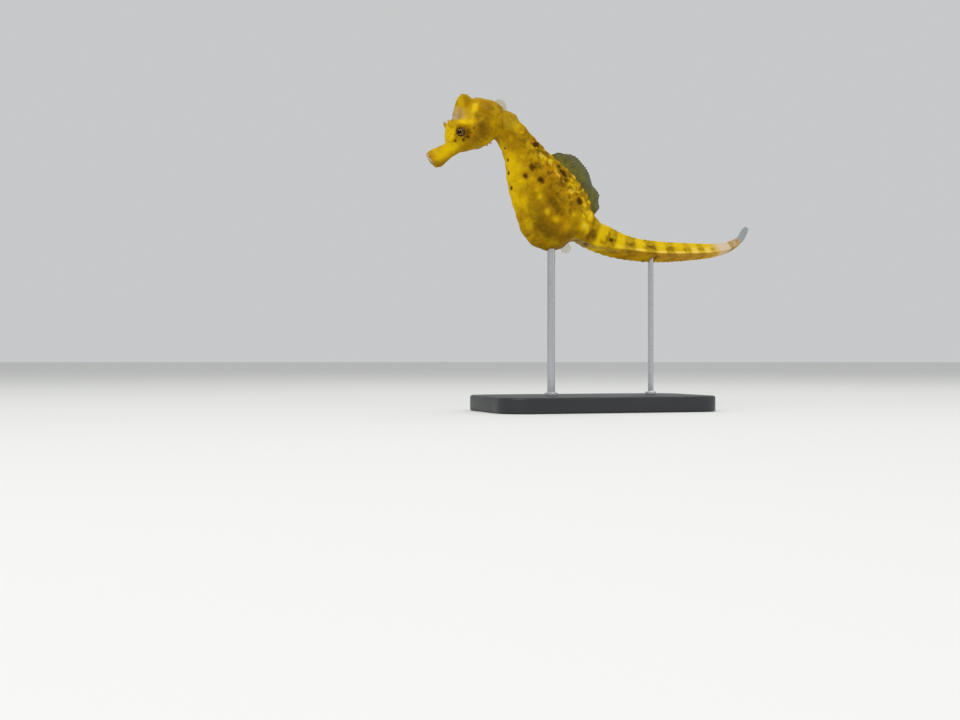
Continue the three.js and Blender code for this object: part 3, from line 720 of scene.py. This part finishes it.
keel_dots = [(1.95 + 1.12 * i, 154 + 13 * ease(i, 0, 2), 0.15, 6, 0.95) for i in range(4)]
keel_dots += [(6.6 + 1.16 * i, 168, 0.1, 4, 0.45) for i in range(3)]
brow_streak = from_line((-38, 2.6, 19.2), (-37, 3.2, 18.4), (-35.9, 3.8, 17.5))
dark = strongest(
    dabs(DARK_SPOTS, wander, soft=False),
    dabs(keel_dots, wander, soft=False),
    head_dabs(FACE_DOTS),
    0.8 * head * bump(brow_streak, 0.38),
    # painted shade: the mouth's slit is painted dark, as its opening lies in shade
    0.8 * head * bump(from_line(*mouth), 0.24),
)

# Brown: on the trunk and neck, in bands round the tail and on the head, and as painted shade on
# faces that look down, on the tail's lower face and behind the ridge before the eye
UMBER_PATCHES = [
    (8.4, 94, 1.6, 12, 0.95), (9.2, 128, 2.5, 25, 0.85), (7, 120, 1.4, 14, 0.45),
    (7.7, 74, 1.2, 13, 0.55), (5.3, 92, 1.6, 12, 0.35), (3.6, 90, 1, 14, 0.3),
    (10.4, 60, 1, 11, 0.45), (6.3, 100, 0.6, 7, 0.4), (0.3, 140, 1.2, 40, 0.65),
    (1.5, 92, 0.9, 14, 0.5), (0, 75, 0.7, 20, 0.35), (4.3, 93, 0.8, 14, 0.25),
    (2.9, 45, 0.7, 16, 0.3), (12.7, 118, 0.4, 16, 0.5), (10.6, 118, 1.2, 22, 0.6),
    (8.2, 80, 1, 10, 0.75), (6.1, 116, 1.2, 14, 0.5), (0.8, 118, 0.9, 14, 0.5),
    (9.8, 84, 0.8, 10, 0.45), (14.6, 122, 0.5, 16, 0.6),
]
# Each band's ring, its half width in rings, and its strength
BANDS = [(13.15, 0.75, 0.85), (16, 0.95, 0.85), (19.3, 1.1, 0.8), (23, 1.25, 0.85)]
BANDS += [(27, 1.15, 0.8), (30.9, 1, 0.7), (34.6, 1.05, 0.65), (38.6, 0.8, 0.65)]
bands = np.zeros(len(points))
lean = -0.006 * (np.minimum(turn, 139) - 101) + 0.035 * np.maximum(turn - 139, 0)
middle = 0.66 + 0.34 * bump((turn - 106) / 26, 1) + 0.25 * patchy
for at_ring, rings, strength in BANDS:
    off = np.abs(ring - at_ring - lean) / rings * (1 + 0.6 * wander)
    bands = np.maximum(bands, strength * middle * np.minimum(1.5 * bump(off, 1), 1))
bands *= ringed
# Painted shade: the tail's lower face, below its lower ridge, is painted darker, as it lies in
# shade.
tail_bottom_shade = ease(turn, 134, 142) * ease(ring, 12, 14) * ringed
mottled = ringed * fade(turn, 75, 118) * fade(ring, 9, 11.5) * ease(ring, 0.5, 2)
mottles = 0.65 * cloud(points, 1.9, 5) + 0.35 * cloud(points, 0.9, 9)
neck_back = ease(x, -23.5, -20) * ease(z + 0.35 * x, 9.5, 12.5)
shade_behind_ridge = ease(x - 0.25 * z - wander, -41.3, -40.2)
around_eye = np.arctan2(z - EYE[2], x - EYE[0])
rays = 0.8 + 0.2 * np.cos(13 * around_eye + 2 * np.sin(3 * around_eye)) + 0.8 * wander
rays *= 1.4 * (side > 1.5)
HEAD_SHADING = [
    patch(-26.4, 17.4, 3.3, 4.4) * (1.05 + 0.3 * patchy),  # the gill cover
    patch(-22.5, 25.5, 3.5, 2.6) * (0.6 + 0.3 * cloud(points, 1.6, 4)),  # the nape
    neck_back * (0.28 + 0.5 * cloud(points, 2.2, 7)),
    patch(-30.5, 27, 2.6, 2.6) * (0.3 + 0.6 * cloud(points, 1.3, 6)),  # the crown
    0.75 * patch(-28.6, 22, 2, 2.2),
    0.6 * patch(-29, 13.4, 4, 2),  # the cheek
    # painted shade behind the ridge that bounds the plate before the eye
    0.6 * patch(-33, 14.6, 4.2, 3.6) * shade_behind_ridge,
    patch(-34.2, 15.6, 2.7, 2.5) * rays,  # round the eye
    patch(-32.2, 15.6, 1.7, 1.6) * rays,
]
umber_and_shade = strongest(
    dabs(UMBER_PATCHES, wander),
    bands,
    # painted shade on the tail's lower face, darker still in the bands
    tail_bottom_shade * (0.1 + 0.55 * bands + 0.2 * patchy),
    mottled * (0.4 + mottles),
    # painted shade on every face that looks down, less on the head
    0.5 * facing_down_shade * (1 - 0.4 * head) * (1 - tail_bottom_shade),
    *(head * shading for shading in HEAD_SHADING),
)
cover_edge = from_line((-24.9, 3.5, 13.8), (-24, 3.5, 16.4), (-23.6, 3.3, 20))
umber_and_shade *= 1 - 0.75 * head * bump(cover_edge, 0.6)
umber_and_shade = strongest(umber_and_shade, (0.4 + 0.4 * mottles) * ease(ring, 44, 46))
# Painted highlight: the trunk's knobs are painted lighter, as where the light catches them.
umber_and_shade *= 1 - 0.2 * knobs * ringed * fade(ring, 11, 13)

# Pale paint: bright knobs, pale blocks on the tail, and painted highlights along the tail's
# lower ridge, in speckles on the back and at the hip
# Painted highlights: light dabs where knobs at the hip and along the trunk and tail catch the light
HIP_HIGHLIGHTS = [(11.8, 86, 0.5, 8, 0.5), (12.15, 50, 0.4, 9, 0.4), (14.4, 42, 0.5, 16, 0.6)]
HIP_HIGHLIGHTS += [(4.4, 48, 0.3, 6, 0.45), (17.3, 126, 0.6, 7, 0.5)]
# Painted highlight: a light line along the tail's lower ridge, where it catches the light, faint in
# the bands.
ridge_highlight = bump(turn - 132, 7) * ease(ring, 16, 19) * fade(ring, 38, 41) * ringed
blocks = 0.75 * bump(ring - 32.8, 1) + 0.75 * bump(ring - 36.5, 1.1)
# Painted highlights: light speckles on the upper back, where it catches the light
highlight_flecks = ringed * ease(cloud(points, 1.8, 13) + 0.4 * wander, 0.08, 0.4) * fade(turn, 50, 70)
highlight_flecks *= ease(ring, 1, 3) * fade(ring, 11, 13)
dice = np.random.default_rng(11)  # as for the knobs' shape, so that the paint falls on them
bright_knobs = dabs(BRIGHT_KNOBS)
pale = strongest(
    0.9 * ridge_highlight * (1 - 0.95 * np.clip(bands, 0, 1)),
    0.42 * bright_knobs,
    dabs(HIP_HIGHLIGHTS, wander),
    blocks * ringed * ease(turn, 60, 100) * fade(turn, 138, 150),
    0.42 * highlight_flecks,
)

# White paint: the tail's white rings, the crown's front, the lips and the spines' tips
crown_front = ease(z + wander, 19.4, 21.4) * fade(z - wander, 24.6, 27.2)
crown_front *= fade(x - wander, -33, -30.6) * (0.75 + 0.25 * fade(x, -36, -34))
streaked = 0.8 + 0.06 * np.cos((x + 0.35 * z) * 6.5) + 0.2 * cloud(points * [1, 1, 0.5], 1.6)
face_edge = from_line((-39.2, 0, 19.4), (-37.4, 0, 22.6), (-36.4, 0, 26.6), (-35.2, 0, 29.4))
before_lips = (points - [-46, 0, 6]) @ np.array([-0.841, 0, -0.541])
on_head = strongest(
    0.62 * crown_front * streaked,
    0.75 * bump(face_edge, 0.55),
    0.5 * ease(z, 30, 30.8) * (x < -29),
    1.2 * bump(from_point(-39.4, 2.2, 20.9), 1.2),  # the brow's tip
    bump(from_point(-22.7, 2.9, 12.4), 0.9),  # the cheek's tip
    0.8 * bump(from_point(-21.4, 1.1, 29), 0.5),  # the nape's tip
    0.8 * ease(before_lips, -0.9, 0.2) * (x < -43),
)
white = 0.5 * ease(ring, 37.6, 39) + 0.55 * ease(ring, 40, 41.2) * fade(ring, 43.8, 45.6)
white += 0.25 * cloud(points, 1.2, 8) * ease(ring, 38, 40)
# the white rings are painted duller on the tail's shaded lower face
white = strongest(white * (1 - 0.4 * tail_bottom_shade) * ringed, head * on_head)
tip_grey = 0.95 * ease(ring + wander, 47.6, 51.8)

# Bright yellow: on the keel, on the tail between its bands, on the face and down the snout,
# with the plate before the eye painted bright as a highlight
YELLOW_PATCHES = [
    (4.6, 60, 0.35, 9, 0.5), (8.2, 38, 0.5, 8, 0.4), (3.6, 140, 2.4, 22, 0.45),
    (6.2, 138, 1.6, 18, 0.35), (3.8, 72, 0.5, 10, 0.3), (11.8, 70, 0.8, 25, 0.4),
]
# the gold also carries the speckled painted highlights of the back
gold = 0.3 + dabs(YELLOW_PATCHES, wander) + 0.7 * highlight_flecks + 0.8 * bright_knobs
gold += 0.2 * patchy + 0.12 * knobs * ringed
gold += 0.3 * ringed * ease(turn, 138, 158) * fade(ring, 7, 9.5)
gold += 0.65 * ringed * ease(ring, 12.5, 14.5) * fade(ring, 43, 46)
# Painted highlight: the plate before the eye, in front of its ridge, is painted bright as where the
# front light falls.
gold += head * 0.7 * ease(0.25 * z - x + wander, 40.4, 41.4) * bump(z - 15, 4)
gold += head * 0.6 * patch(-33.6, 19.7, 3.2, 1.3)
gold += head * 0.7 * bump(from_line((-30.1, 3.4, 19.5), (-29.2, 3.6, 22), (-28.6, 2.4, 26)), 1.2)
gold += head * 0.5 * bump(from_line((-36.5, 2.4, 10.4), (-42.5, 2.2, 6.4)), 1.8)

# Orange: on the back and belly, under the tail, before its tip, on the lips and behind the eye,
# and the tail's lower face painted orange-brown as shade
RUST_PATCHES = [
    (2.72, 36, 0.3, 10, 0.9), (5.5, 55, 1.6, 14, 0.6), (8.5, 57, 1.5, 12, 0.5),
    (2, 60, 1.2, 14, 0.4), (5.9, 108, 0.6, 8, 0.4), (3.5, 78, 0.35, 9, 0.5),
    (0.7, 75, 0.3, 9, 0.5), (7.4, 165, 1, 12, 0.5), (9.8, 150, 0.7, 12, 0.5),
    (6.8, 60, 0.5, 8, 0.4), (12.95, 128, 0.35, 9, 0.5), (27.2, 85, 0.4, 30, 0.5),
    (49, 80, 0.9, 30, 0.8), (25, 165, 2, 14, 0.4), (35.5, 150, 1.5, 14, 0.4),
    (9.6, 105, 2, 30, 0.45), (6.5, 85, 2, 22, 0.35), (14.9, 125, 0.5, 14, 0.7),
]
on_lips = ease(-x - 0.5 * z, 39, 41)
orange_and_shade = strongest(
    dabs(RUST_PATCHES, wander),
    # painted shade: the tail's lower face is painted orange-brown
    0.62 * tail_bottom_shade * ease(ring, 14, 18) * fade(ring, 38, 42),
    head * 0.5 * bump(from_line((-27, 3, 25.2), (-24.2, 3.4, 24)), 0.9),
    head * 0.45 * on_lips * np.clip(0.6 + 1.6 * patchy, 0, 1),
    head * 0.7 * patch(-31.6, 14.8, 2.6, 2),
)


def add_layers(piece, layers):
    """Each named layer goes into the mesh as a number from 0 to 1 at each point."""
    for name, values in layers.items():
        layer = piece.data.attributes.new(name, "FLOAT", "POINT")
        layer.data.foreach_set("value", np.clip(values, 0, 1).astype(np.float32))


# The brown and orange layers also carry painted shade, and the gold and cream layers painted
# highlights.
add_layers(skin, {"gold": gold, "umber_and_shade": umber_and_shade, "dark": dark, "cream": pale})
add_layers(skin, {"white": white, "grey": tip_grey, "orange_and_shade": orange_and_shade})

# Seahorse skin, painted on cast resin and varnished satin: deep yellow with a low sheen,
# grainy at 0.35 mm, with cloudy shading 2 to 5 mm across and ragged edges on its dark marks.
skin_paint, tree, where = new_material("seahorse_skin_painted_resin")
clouds = add(tree, "TexNoise", {"Vector": where, "Scale": 1 / (5 * MM), "Detail": 5})
mottle = add(tree, "TexNoise", {"Vector": where, "Scale": 1 / (1.6 * MM), "Detail": 5})
grain = add(tree, "TexNoise", {"Vector": where, "Scale": 1 / (0.35 * MM), "Detail": 3})
# The brown and orange coats also lay painted shade, and the gold and cream coats painted
# highlights.
# A coat's layer, the noise that makes its edge ragged and by how much, where it starts and is
# full, its most cover, and its colour
COATS = [
    ("gold", clouds, 1.3, 0.1, 1.0, 1, "#dcb600"),
    ("orange_and_shade", clouds, 0.9, 0.15, 0.9, 0.85, "#b06f00"),
    ("umber_and_shade", mottle, 0.7, 0.15, 1.1, 0.92, "#5f4500"),
    ("cream", mottle, 0.35, 0.2, 0.9, 0.85, "#edcb66"),
    ("white", mottle, 0.35, 0.2, 0.9, 0.85, "#cdbdab"),
    ("grey", mottle, 0.3, 0.1, 0.9, 0.9, "#8d999c"),
    ("dark", mottle, 0.7, 0.1, 0.6, 0.75, "#6d4800"),
    ("dark", mottle, 0.7, 0.45, 0.95, 0.92, "#3a2400"),
]
colour = linear("#9c7300")
for layer, noisy, ragged, starts, full, most, tone in COATS:
    paint = add(tree, "Attribute", attribute_name=layer).outputs["Fac"]
    edged = add(tree, "Math", {0: noisy, 1: ragged, 2: paint}, operation="MULTIPLY_ADD")
    sockets = {"Value": edged, "From Min": starts + ragged / 2, "From Max": full + ragged / 2}
    sockets["To Max"] = most
    cover = add(tree, "MapRange", sockets, interpolation_type="SMOOTHSTEP")
    colour = add(tree, "Mix", {"Factor": cover, "A": colour, "B": linear(tone)}, data_type="RGBA")
sockets = {"Value": mottle, "From Min": 0.3, "From Max": 0.7, "To Min": 0.42, "To Max": 0.56}
satin = add(tree, "MapRange", sockets)
fine = add(tree, "Bump", {"Height": grain, "Strength": 0.35, "Distance": 0.06 * MM})
sockets = {"Height": mottle, "Strength": 0.4, "Distance": 0.15 * MM, "Normal": fine}
uneven = add(tree, "Bump", sockets)
sockets = {"Base Color": colour, "Roughness": satin, "Normal": uneven, "IOR": 1.45}
sockets |= {"Subsurface Weight": 0.12, "Subsurface Radius": (1, 0.55, 0.12)}
sockets |= {"Subsurface Scale": 0.8 * MM, "Specular IOR Level": 0.06}
sockets |= {"Coat Weight": 0.02, "Coat Roughness": 0.3}
shader = add(tree, "BsdfPrincipled", sockets)
add(tree, "OutputMaterial", {"Surface": shader})
skin.data.materials.append(skin_paint)
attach(skin, "root")
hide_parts(*FLESH)

# ---------- Eyes ----------
# Each eye is a glass ball set in its turret, with a sunk iris and pupil under a clear dome.
# The ball is painted on its back in rings of brown and gold, and the dome is polished glass.

IRIS_AT = 70  # degrees from the middle of the pupil to the iris's rim
PUPIL_SHARE = 0.36  # of the iris's radius
IRIS_DEPTH = 0.2  # millimetres that the iris is sunk into the ball
PUPIL_DEPTH = 0.14  # and the pupil below the iris
DOME_OVER = 0.02  # millimetres that the dome stands off the ball all over
DOME_RISE = 0.1  # and more in its middle
DOME_WALL = 0.08
LOOKS = Vector((-0.5, -0.86, -0.06)).normalized()  # where the left eye looks

# Painted glass: a black pupil with a thin gold edge in a brown iris streaked out from it.
iris_paint, tree, _ = new_material("painted_glass_eye")
in_iris = add(tree, "Attribute", attribute_name="iris").outputs["Vector"]
out_from_pupil = add(tree, "SeparateXYZ", {"Vector": in_iris}).outputs["Z"]
streaks = add(tree, "TexNoise", {"Vector": in_iris, "Scale": 5.5, "Detail": 3})
# Each ring's pattern, where it starts and is full on that pattern, and its colour
RINGS = [
    (streaks, 0.35, 0.62, "#7c4e0a"),
    (out_from_pupil, PUPIL_SHARE + 0.12, PUPIL_SHARE + 0.03, "#8a5c12"),
    (out_from_pupil, 0.8, 1.1, "#5a3c08"),
    (out_from_pupil, PUPIL_SHARE + 0.02, PUPIL_SHARE - 0.03, "#070504"),
]
colour = linear("#3a1c04")
for pattern, starts, full, tone in RINGS:
    sockets = {"Value": pattern, "From Min": starts, "From Max": full}
    cover = add(tree, "MapRange", sockets, interpolation_type="SMOOTHSTEP")
    colour = add(tree, "Mix", {"Factor": cover, "A": colour, "B": linear(tone)}, data_type="RGBA")
sockets = {"Base Color": colour, "Roughness": 0.4, "IOR": 1.5, "Specular IOR Level": 0.1}
shader = add(tree, "BsdfPrincipled", sockets)
add(tree, "OutputMaterial", {"Surface": shader})

# Clear glass, polished: no colour of its own, only a sharp highlight over the iris.
dome_glass, tree, where = new_material("clear_glass_polished")
scuffs = add(tree, "TexNoise", {"Vector": where, "Scale": 1 / (0.6 * MM)})
sockets = {"Value": scuffs, "From Min": 0.45, "From Max": 0.75, "To Min": 0.01, "To Max": 0.05}
scuffed = add(tree, "MapRange", sockets)
sockets = {"Base Color": linear("#ffffff"), "Roughness": scuffed, "IOR": 1.18}
sockets["Transmission Weight"] = 1
shader = add(tree, "BsdfPrincipled", sockets)
add(tree, "OutputMaterial", {"Surface": shader})

for side_name, hand in (("left", -1), ("right", 1)):
    node = f"eye_{side_name}"
    low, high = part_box(node)
    centre_of_eye = (low + high) / 2
    looks = Vector((LOOKS.x, -hand * LOOKS.y, LOOKS.z))
    turned = looks.to_track_quat("Z", "Y").to_euler()
    deselect()
    bpy.ops.mesh.primitive_uv_sphere_add(segments=64, ring_count=64, radius=EYE_RADIUS * MM)
    ball = bpy.context.object
    local = points_of(ball)
    axis_turn = np.degrees(np.arccos(np.clip(local[:, 2] / (EYE_RADIUS * MM), -1, 1)))
    from_axis = axis_turn / IRIS_AT
    sink = IRIS_DEPTH * fade(from_axis, 0.8, 1) + PUPIL_DEPTH * fade(from_axis, 0.33, 0.43)
    local[:, 2] -= sink * MM
    spin = np.arctan2(local[:, 1], local[:, 0])
    streak_place = np.stack([np.cos(spin), np.sin(spin), from_axis], 1)
    move_points(ball, local)
    iris = ball.data.attributes.new("iris", "FLOAT_VECTOR", "POINT")
    iris.data.foreach_set("vector", streak_place.astype(np.float32).ravel())
    ball.location, ball.rotation_euler = centre_of_eye, turned
    settle(ball, f"eyeball_{side_name}")
    bpy.ops.object.shade_smooth()
    ball.data.materials.append(iris_paint)
    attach(ball, "root")
    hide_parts(node)

    deselect()
    bpy.ops.mesh.primitive_uv_sphere_add(
        segments=48, ring_count=48, radius=(EYE_RADIUS + DOME_OVER) * MM
    )
    dome = bpy.context.object
    edit_all(dome)
    flat = EYE_RADIUS * MM * math.cos(math.radians(IRIS_AT + 6))
    bpy.ops.mesh.bisect(plane_co=(0, 0, flat), plane_no=(0, 0, -1), clear_outer=True)
    bpy.ops.object.mode_set(mode="OBJECT")
    local = points_of(dome)
    rise = ease(local[:, 2], flat, EYE_RADIUS * MM)
    local[:, 2] += DOME_RISE * MM * rise
    move_points(dome, local)
    dome.location, dome.rotation_euler = centre_of_eye, turned
    settle(dome, f"eye_dome_{side_name}")
    wall = dome.modifiers.new("wall", "SOLIDIFY")
    wall.thickness = DOME_WALL * MM
    wall.offset = -1
    apply_all(dome)
    bpy.ops.object.shade_smooth()
    dome.data.materials.append(dome_glass)
    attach(dome, "root")

# ---------- Fins ----------
# Each fin is a thin clear skin on fine bony rays, cast in tinted resin. The back fin has 27 rays
# that lean to the tail, each breast fin 16 in a fan, and the small fin under the belly four.

DORSAL_FROM = shoulder + 4.35 * (hip - shoulder) / TRUNK_RINGS
DORSAL_TO = hip + 2.8
DORSAL_HEIGHT = 10.6
DORSAL_RIM = [0.61, 0.99, 0.98, 0.9, 0.77, 0.7, 0.71, 0.73, 0.52]  # shares of that, head to tail
MEMBRANE = 0.14  # millimetres thick, and the rays that stand out of it
RAY = 0.42


def along_body(values, at):
    """Values known at the spine's samples, at other lengths along it."""
    return np.stack([np.interp(at, length, values[:, k]) for k in range(values.shape[1])], 1)


def dorsal_sheet(u, v):
    """The back fin's middle surface. u runs from head to tail, and v from root to rim."""
    at = DORSAL_FROM + (DORSAL_TO - DORSAL_FROM) * u
    rim = through(DORSAL_RIM, u * (len(DORSAL_RIM) - 1))[:, 0]
    high = DORSAL_HEIGHT * rim * v
    ups, outs, middle = (along_body(values, at) for values in (up, out, centre))
    backs = along_body(reach, at)[:, :1]
    forward = np.cross(outs, ups)
    flutter = 0.5 * v**2 * np.sin(u * 3.2 * np.pi)
    return (
        middle
        + ups * (backs * 0.95 - 0.9 + high[:, None])
        + forward * (high * (0.12 + 0.3 * u))[:, None]
        + outs * flutter[:, None]
    )


def fan_sheet(base, along, outward, long, spread_by, curl):
    """A fan's middle surface, by its base, the ways its root runs and it stands, and its size."""
    a = np.array(along, float) / np.linalg.norm(along)
    o = np.array(outward, float)
    o -= a * (a @ o)
    o /= np.linalg.norm(o)
    lift = np.cross(a, o)

    def sheet(u, v):
        angle = (u - 0.5) * spread_by
        far = long * v * (1 - 0.25 * (2 * u - 1) ** 2)
        return (
            np.array(base)
            + np.outer((u - 0.5) * 2.6 + far * np.sin(angle), a)
            + np.outer(far * np.cos(angle), o)
            + np.outer(curl * v * v, lift)
        )

    return sheet


raised_fan = fan_sheet((-18.2, 4, 23.8), (1, 0.15, -0.6), (0.5, 0.3, 1), 8.2, 0.5, -0.6)
swept_fan = fan_sheet((-19, -4.4, 18.8), (0.35, -0.1, -1), (0.9, -0.7, -0.1), 7.4, 0.85, 0.6)
small_fan = fan_sheet((7.4, 0, -22.4), (1, 0, 0.35), (-0.1, 0, -1), 5.6, 0.4, 0.3)
# Each fin's shape, its number of rays, and how smoky it is, from 0 for clear to 1
FINS = [
    ("dorsal_fin", dorsal_sheet, 27, 1),
    ("pectoral_fin_right", raised_fan, 16, 0.3),
    ("pectoral_fin_left", swept_fan, 16, 0.08),
    ("anal_fin", small_fan, 4, 0.2),
]
fins = []
for node, sheet, rays, smoky in FINS:
    per_ray = 6 if rays > 4 else 8
    deselect()
    bpy.ops.mesh.primitive_grid_add(
        x_subdivisions=rays * per_ray, y_subdivisions=36, size=1, location=(0, 0, 0)
    )
    fin = bpy.context.object
    flat = points_of(fin)
    u, v = flat[:, 0] + 0.5, flat[:, 1] + 0.5
    on_ray = np.cos(np.pi * ((u * rays) % 1 - 0.5)) ** 2  # 1 on a ray, 0 between two
    notch = 1 - 0.035 * (1 - on_ray) * ease(v, 0.5, 1)
    moved = sheet(u, v * notch)
    move_points(fin, (moved + SHIFT) * MM)
    add_layers(fin, {"ray": on_ray**3, "out": v, "smoky": np.full(len(v), smoky)})
    thick = fin.vertex_groups.new(name="thick")
    tapered = on_ray**3 * (1 - 0.65 * v)
    for i, value in enumerate(tapered):
        thick.add([i], float(value), "REPLACE")
    settle(fin, f"{node}_rayed")
    wall = fin.modifiers.new("wall", "SOLIDIFY")
    wall.thickness = RAY * MM
    wall.offset = 0
    wall.vertex_group = "thick"
    wall.thickness_vertex_group = MEMBRANE / RAY
    apply_all(fin)
    bpy.ops.object.shade_smooth()
    fins.append((fin, node))

# Tinted clear resin, cast thin over rays: smoky olive on the back fin, and nearly colourless on
# the small fins, which beat too fast to be seen on a live animal. The rays are more solid.
fin_resin, tree, where = new_material("fin_resin_tinted_clear")
ray, outer, smoky = (
    add(tree, "Attribute", attribute_name=layer).outputs["Fac"]
    for layer in ("ray", "out", "smoky")
)
clouds = add(tree, "TexNoise", {"Vector": where, "Scale": 1 / (2.5 * MM), "Detail": 4})
# Each tone's pattern, where it starts and is full on that pattern, its most cover, its colour
TONES = [
    (clouds, 0.3, 0.7, 1, "#716a00"),
    (outer, 0.55, 0.0, 0.8, "#a39400"),
    (outer, 0.6, 1.0, 0.6, "#4c4a10"),
    (smoky, 1, 0, 1, "#b8a030"),
]
colour = linear("#525000")
for pattern, starts, full, most, tone in TONES:
    sockets = {"Value": pattern, "From Min": starts, "From Max": full, "To Max": most}
    cover = add(tree, "MapRange", sockets, interpolation_type="SMOOTHSTEP")
    colour = add(tree, "Mix", {"Factor": cover, "A": colour, "B": linear(tone)}, data_type="RGBA")
sockets = {"Value": ray, "From Min": 0.1, "From Max": 0.9, "To Min": 0.8, "To Max": 0.9}
solid = add(tree, "MapRange", sockets)
sockets = {"Value": ray, "From Min": 0.1, "From Max": 0.9, "To Min": 0.02, "To Max": 0.12}
thin = add(tree, "MapRange", sockets)
shown = add(tree, "Mix", {"Factor": smoky, "A": thin, "B": solid})
sockets = {"Value": outer, "From Min": 0.4, "From Max": 1, "To Min": 1, "To Max": 0.82}
paler = add(tree, "MapRange", sockets)
clear = add(tree, "Math", {0: shown, 1: paler}, operation="MULTIPLY")
lumps = add(tree, "TexNoise", {"Vector": where, "Scale": 1 / (0.7 * MM)})
jointed = add(tree, "Bump", {"Height": lumps, "Strength": 0.3, "Distance": 0.08 * MM})
sockets = {"Base Color": colour, "Alpha": clear, "Normal": jointed, "Roughness": 0.45}
sockets |= {"IOR": 1.4, "Specular IOR Level": 0.12}
shader = add(tree, "BsdfPrincipled", sockets)
add(tree, "OutputMaterial", {"Surface": shader})
for fin, node in fins:
    fin.data.materials.append(fin_resin)
    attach(fin, "root")
    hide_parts(node)

# ---------- Floor, lights and camera ----------
# A plain pale studio floor under soft, even light from three large boxes. The camera is level
# and stands off the animal's left side, lower than its belly.

deselect()
bpy.ops.mesh.primitive_circle_add(vertices=96, radius=12, fill_type="NGON", location=(0, 0, 0))
floor = bpy.context.object
settle(floor, "floor")
floor_paint, tree, where = new_material("studio_floor_matt_paint")
rolled_on = add(tree, "TexNoise", {"Vector": where, "Scale": 1 / (400 * MM)})
sockets = {"Factor": rolled_on, "A": linear("#e2e2df"), "B": linear("#e8e8e5")}
tint = add(tree, "Mix", sockets, data_type="RGBA")
shader = add(tree, "BsdfPrincipled", {"Base Color": tint, "Roughness": 0.8})
add(tree, "OutputMaterial", {"Surface": shader})
floor.data.materials.append(floor_paint)
floor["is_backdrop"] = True

world = bpy.data.worlds.new("studio")
bpy.context.scene.world = world
world.use_nodes = True
background = world.node_tree.nodes["Background"]
background.inputs["Color"].default_value = linear("#e9ebec")
background.inputs["Strength"].default_value = 0.7


def soft_box(name, at, target, width, power):
    """A square lamp at a place, turned to its target."""
    lamp = bpy.data.lights.new(name, "AREA")
    lamp.shape = "SQUARE"
    lamp.size = width
    lamp.energy = power
    box = bpy.data.objects.new(name, lamp)
    bpy.context.collection.objects.link(box)
    box.location = at
    box.rotation_euler = (Vector(target) - Vector(at)).to_track_quat("-Z", "Y").to_euler()


soft_box("key_light", (-0.45, -0.6, 0.75), (0, 0, 0.07), 0.5, 4.2)
soft_box("top_light", (0.15, 0.1, 0.9), (0, 0, 0.07), 0.7, 2.2)
soft_box("fill_light", (0.7, -0.5, 0.35), (0, 0, 0.07), 0.6, 0.4)

camera = bpy.data.objects.new("camera", bpy.data.cameras.new("camera"))
bpy.context.collection.objects.link(camera)
camera.data.lens = 50
camera.data.sensor_width = 36
camera.data.clip_start = 0.01
camera.location = place(-180.07, -474.27, -68.4)
camera.rotation_euler = (math.radians(90), 0, math.radians(-18))
bpy.context.scene.camera = camera
bpy.context.scene.view_settings.view_transform = "Standard"

low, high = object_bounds()
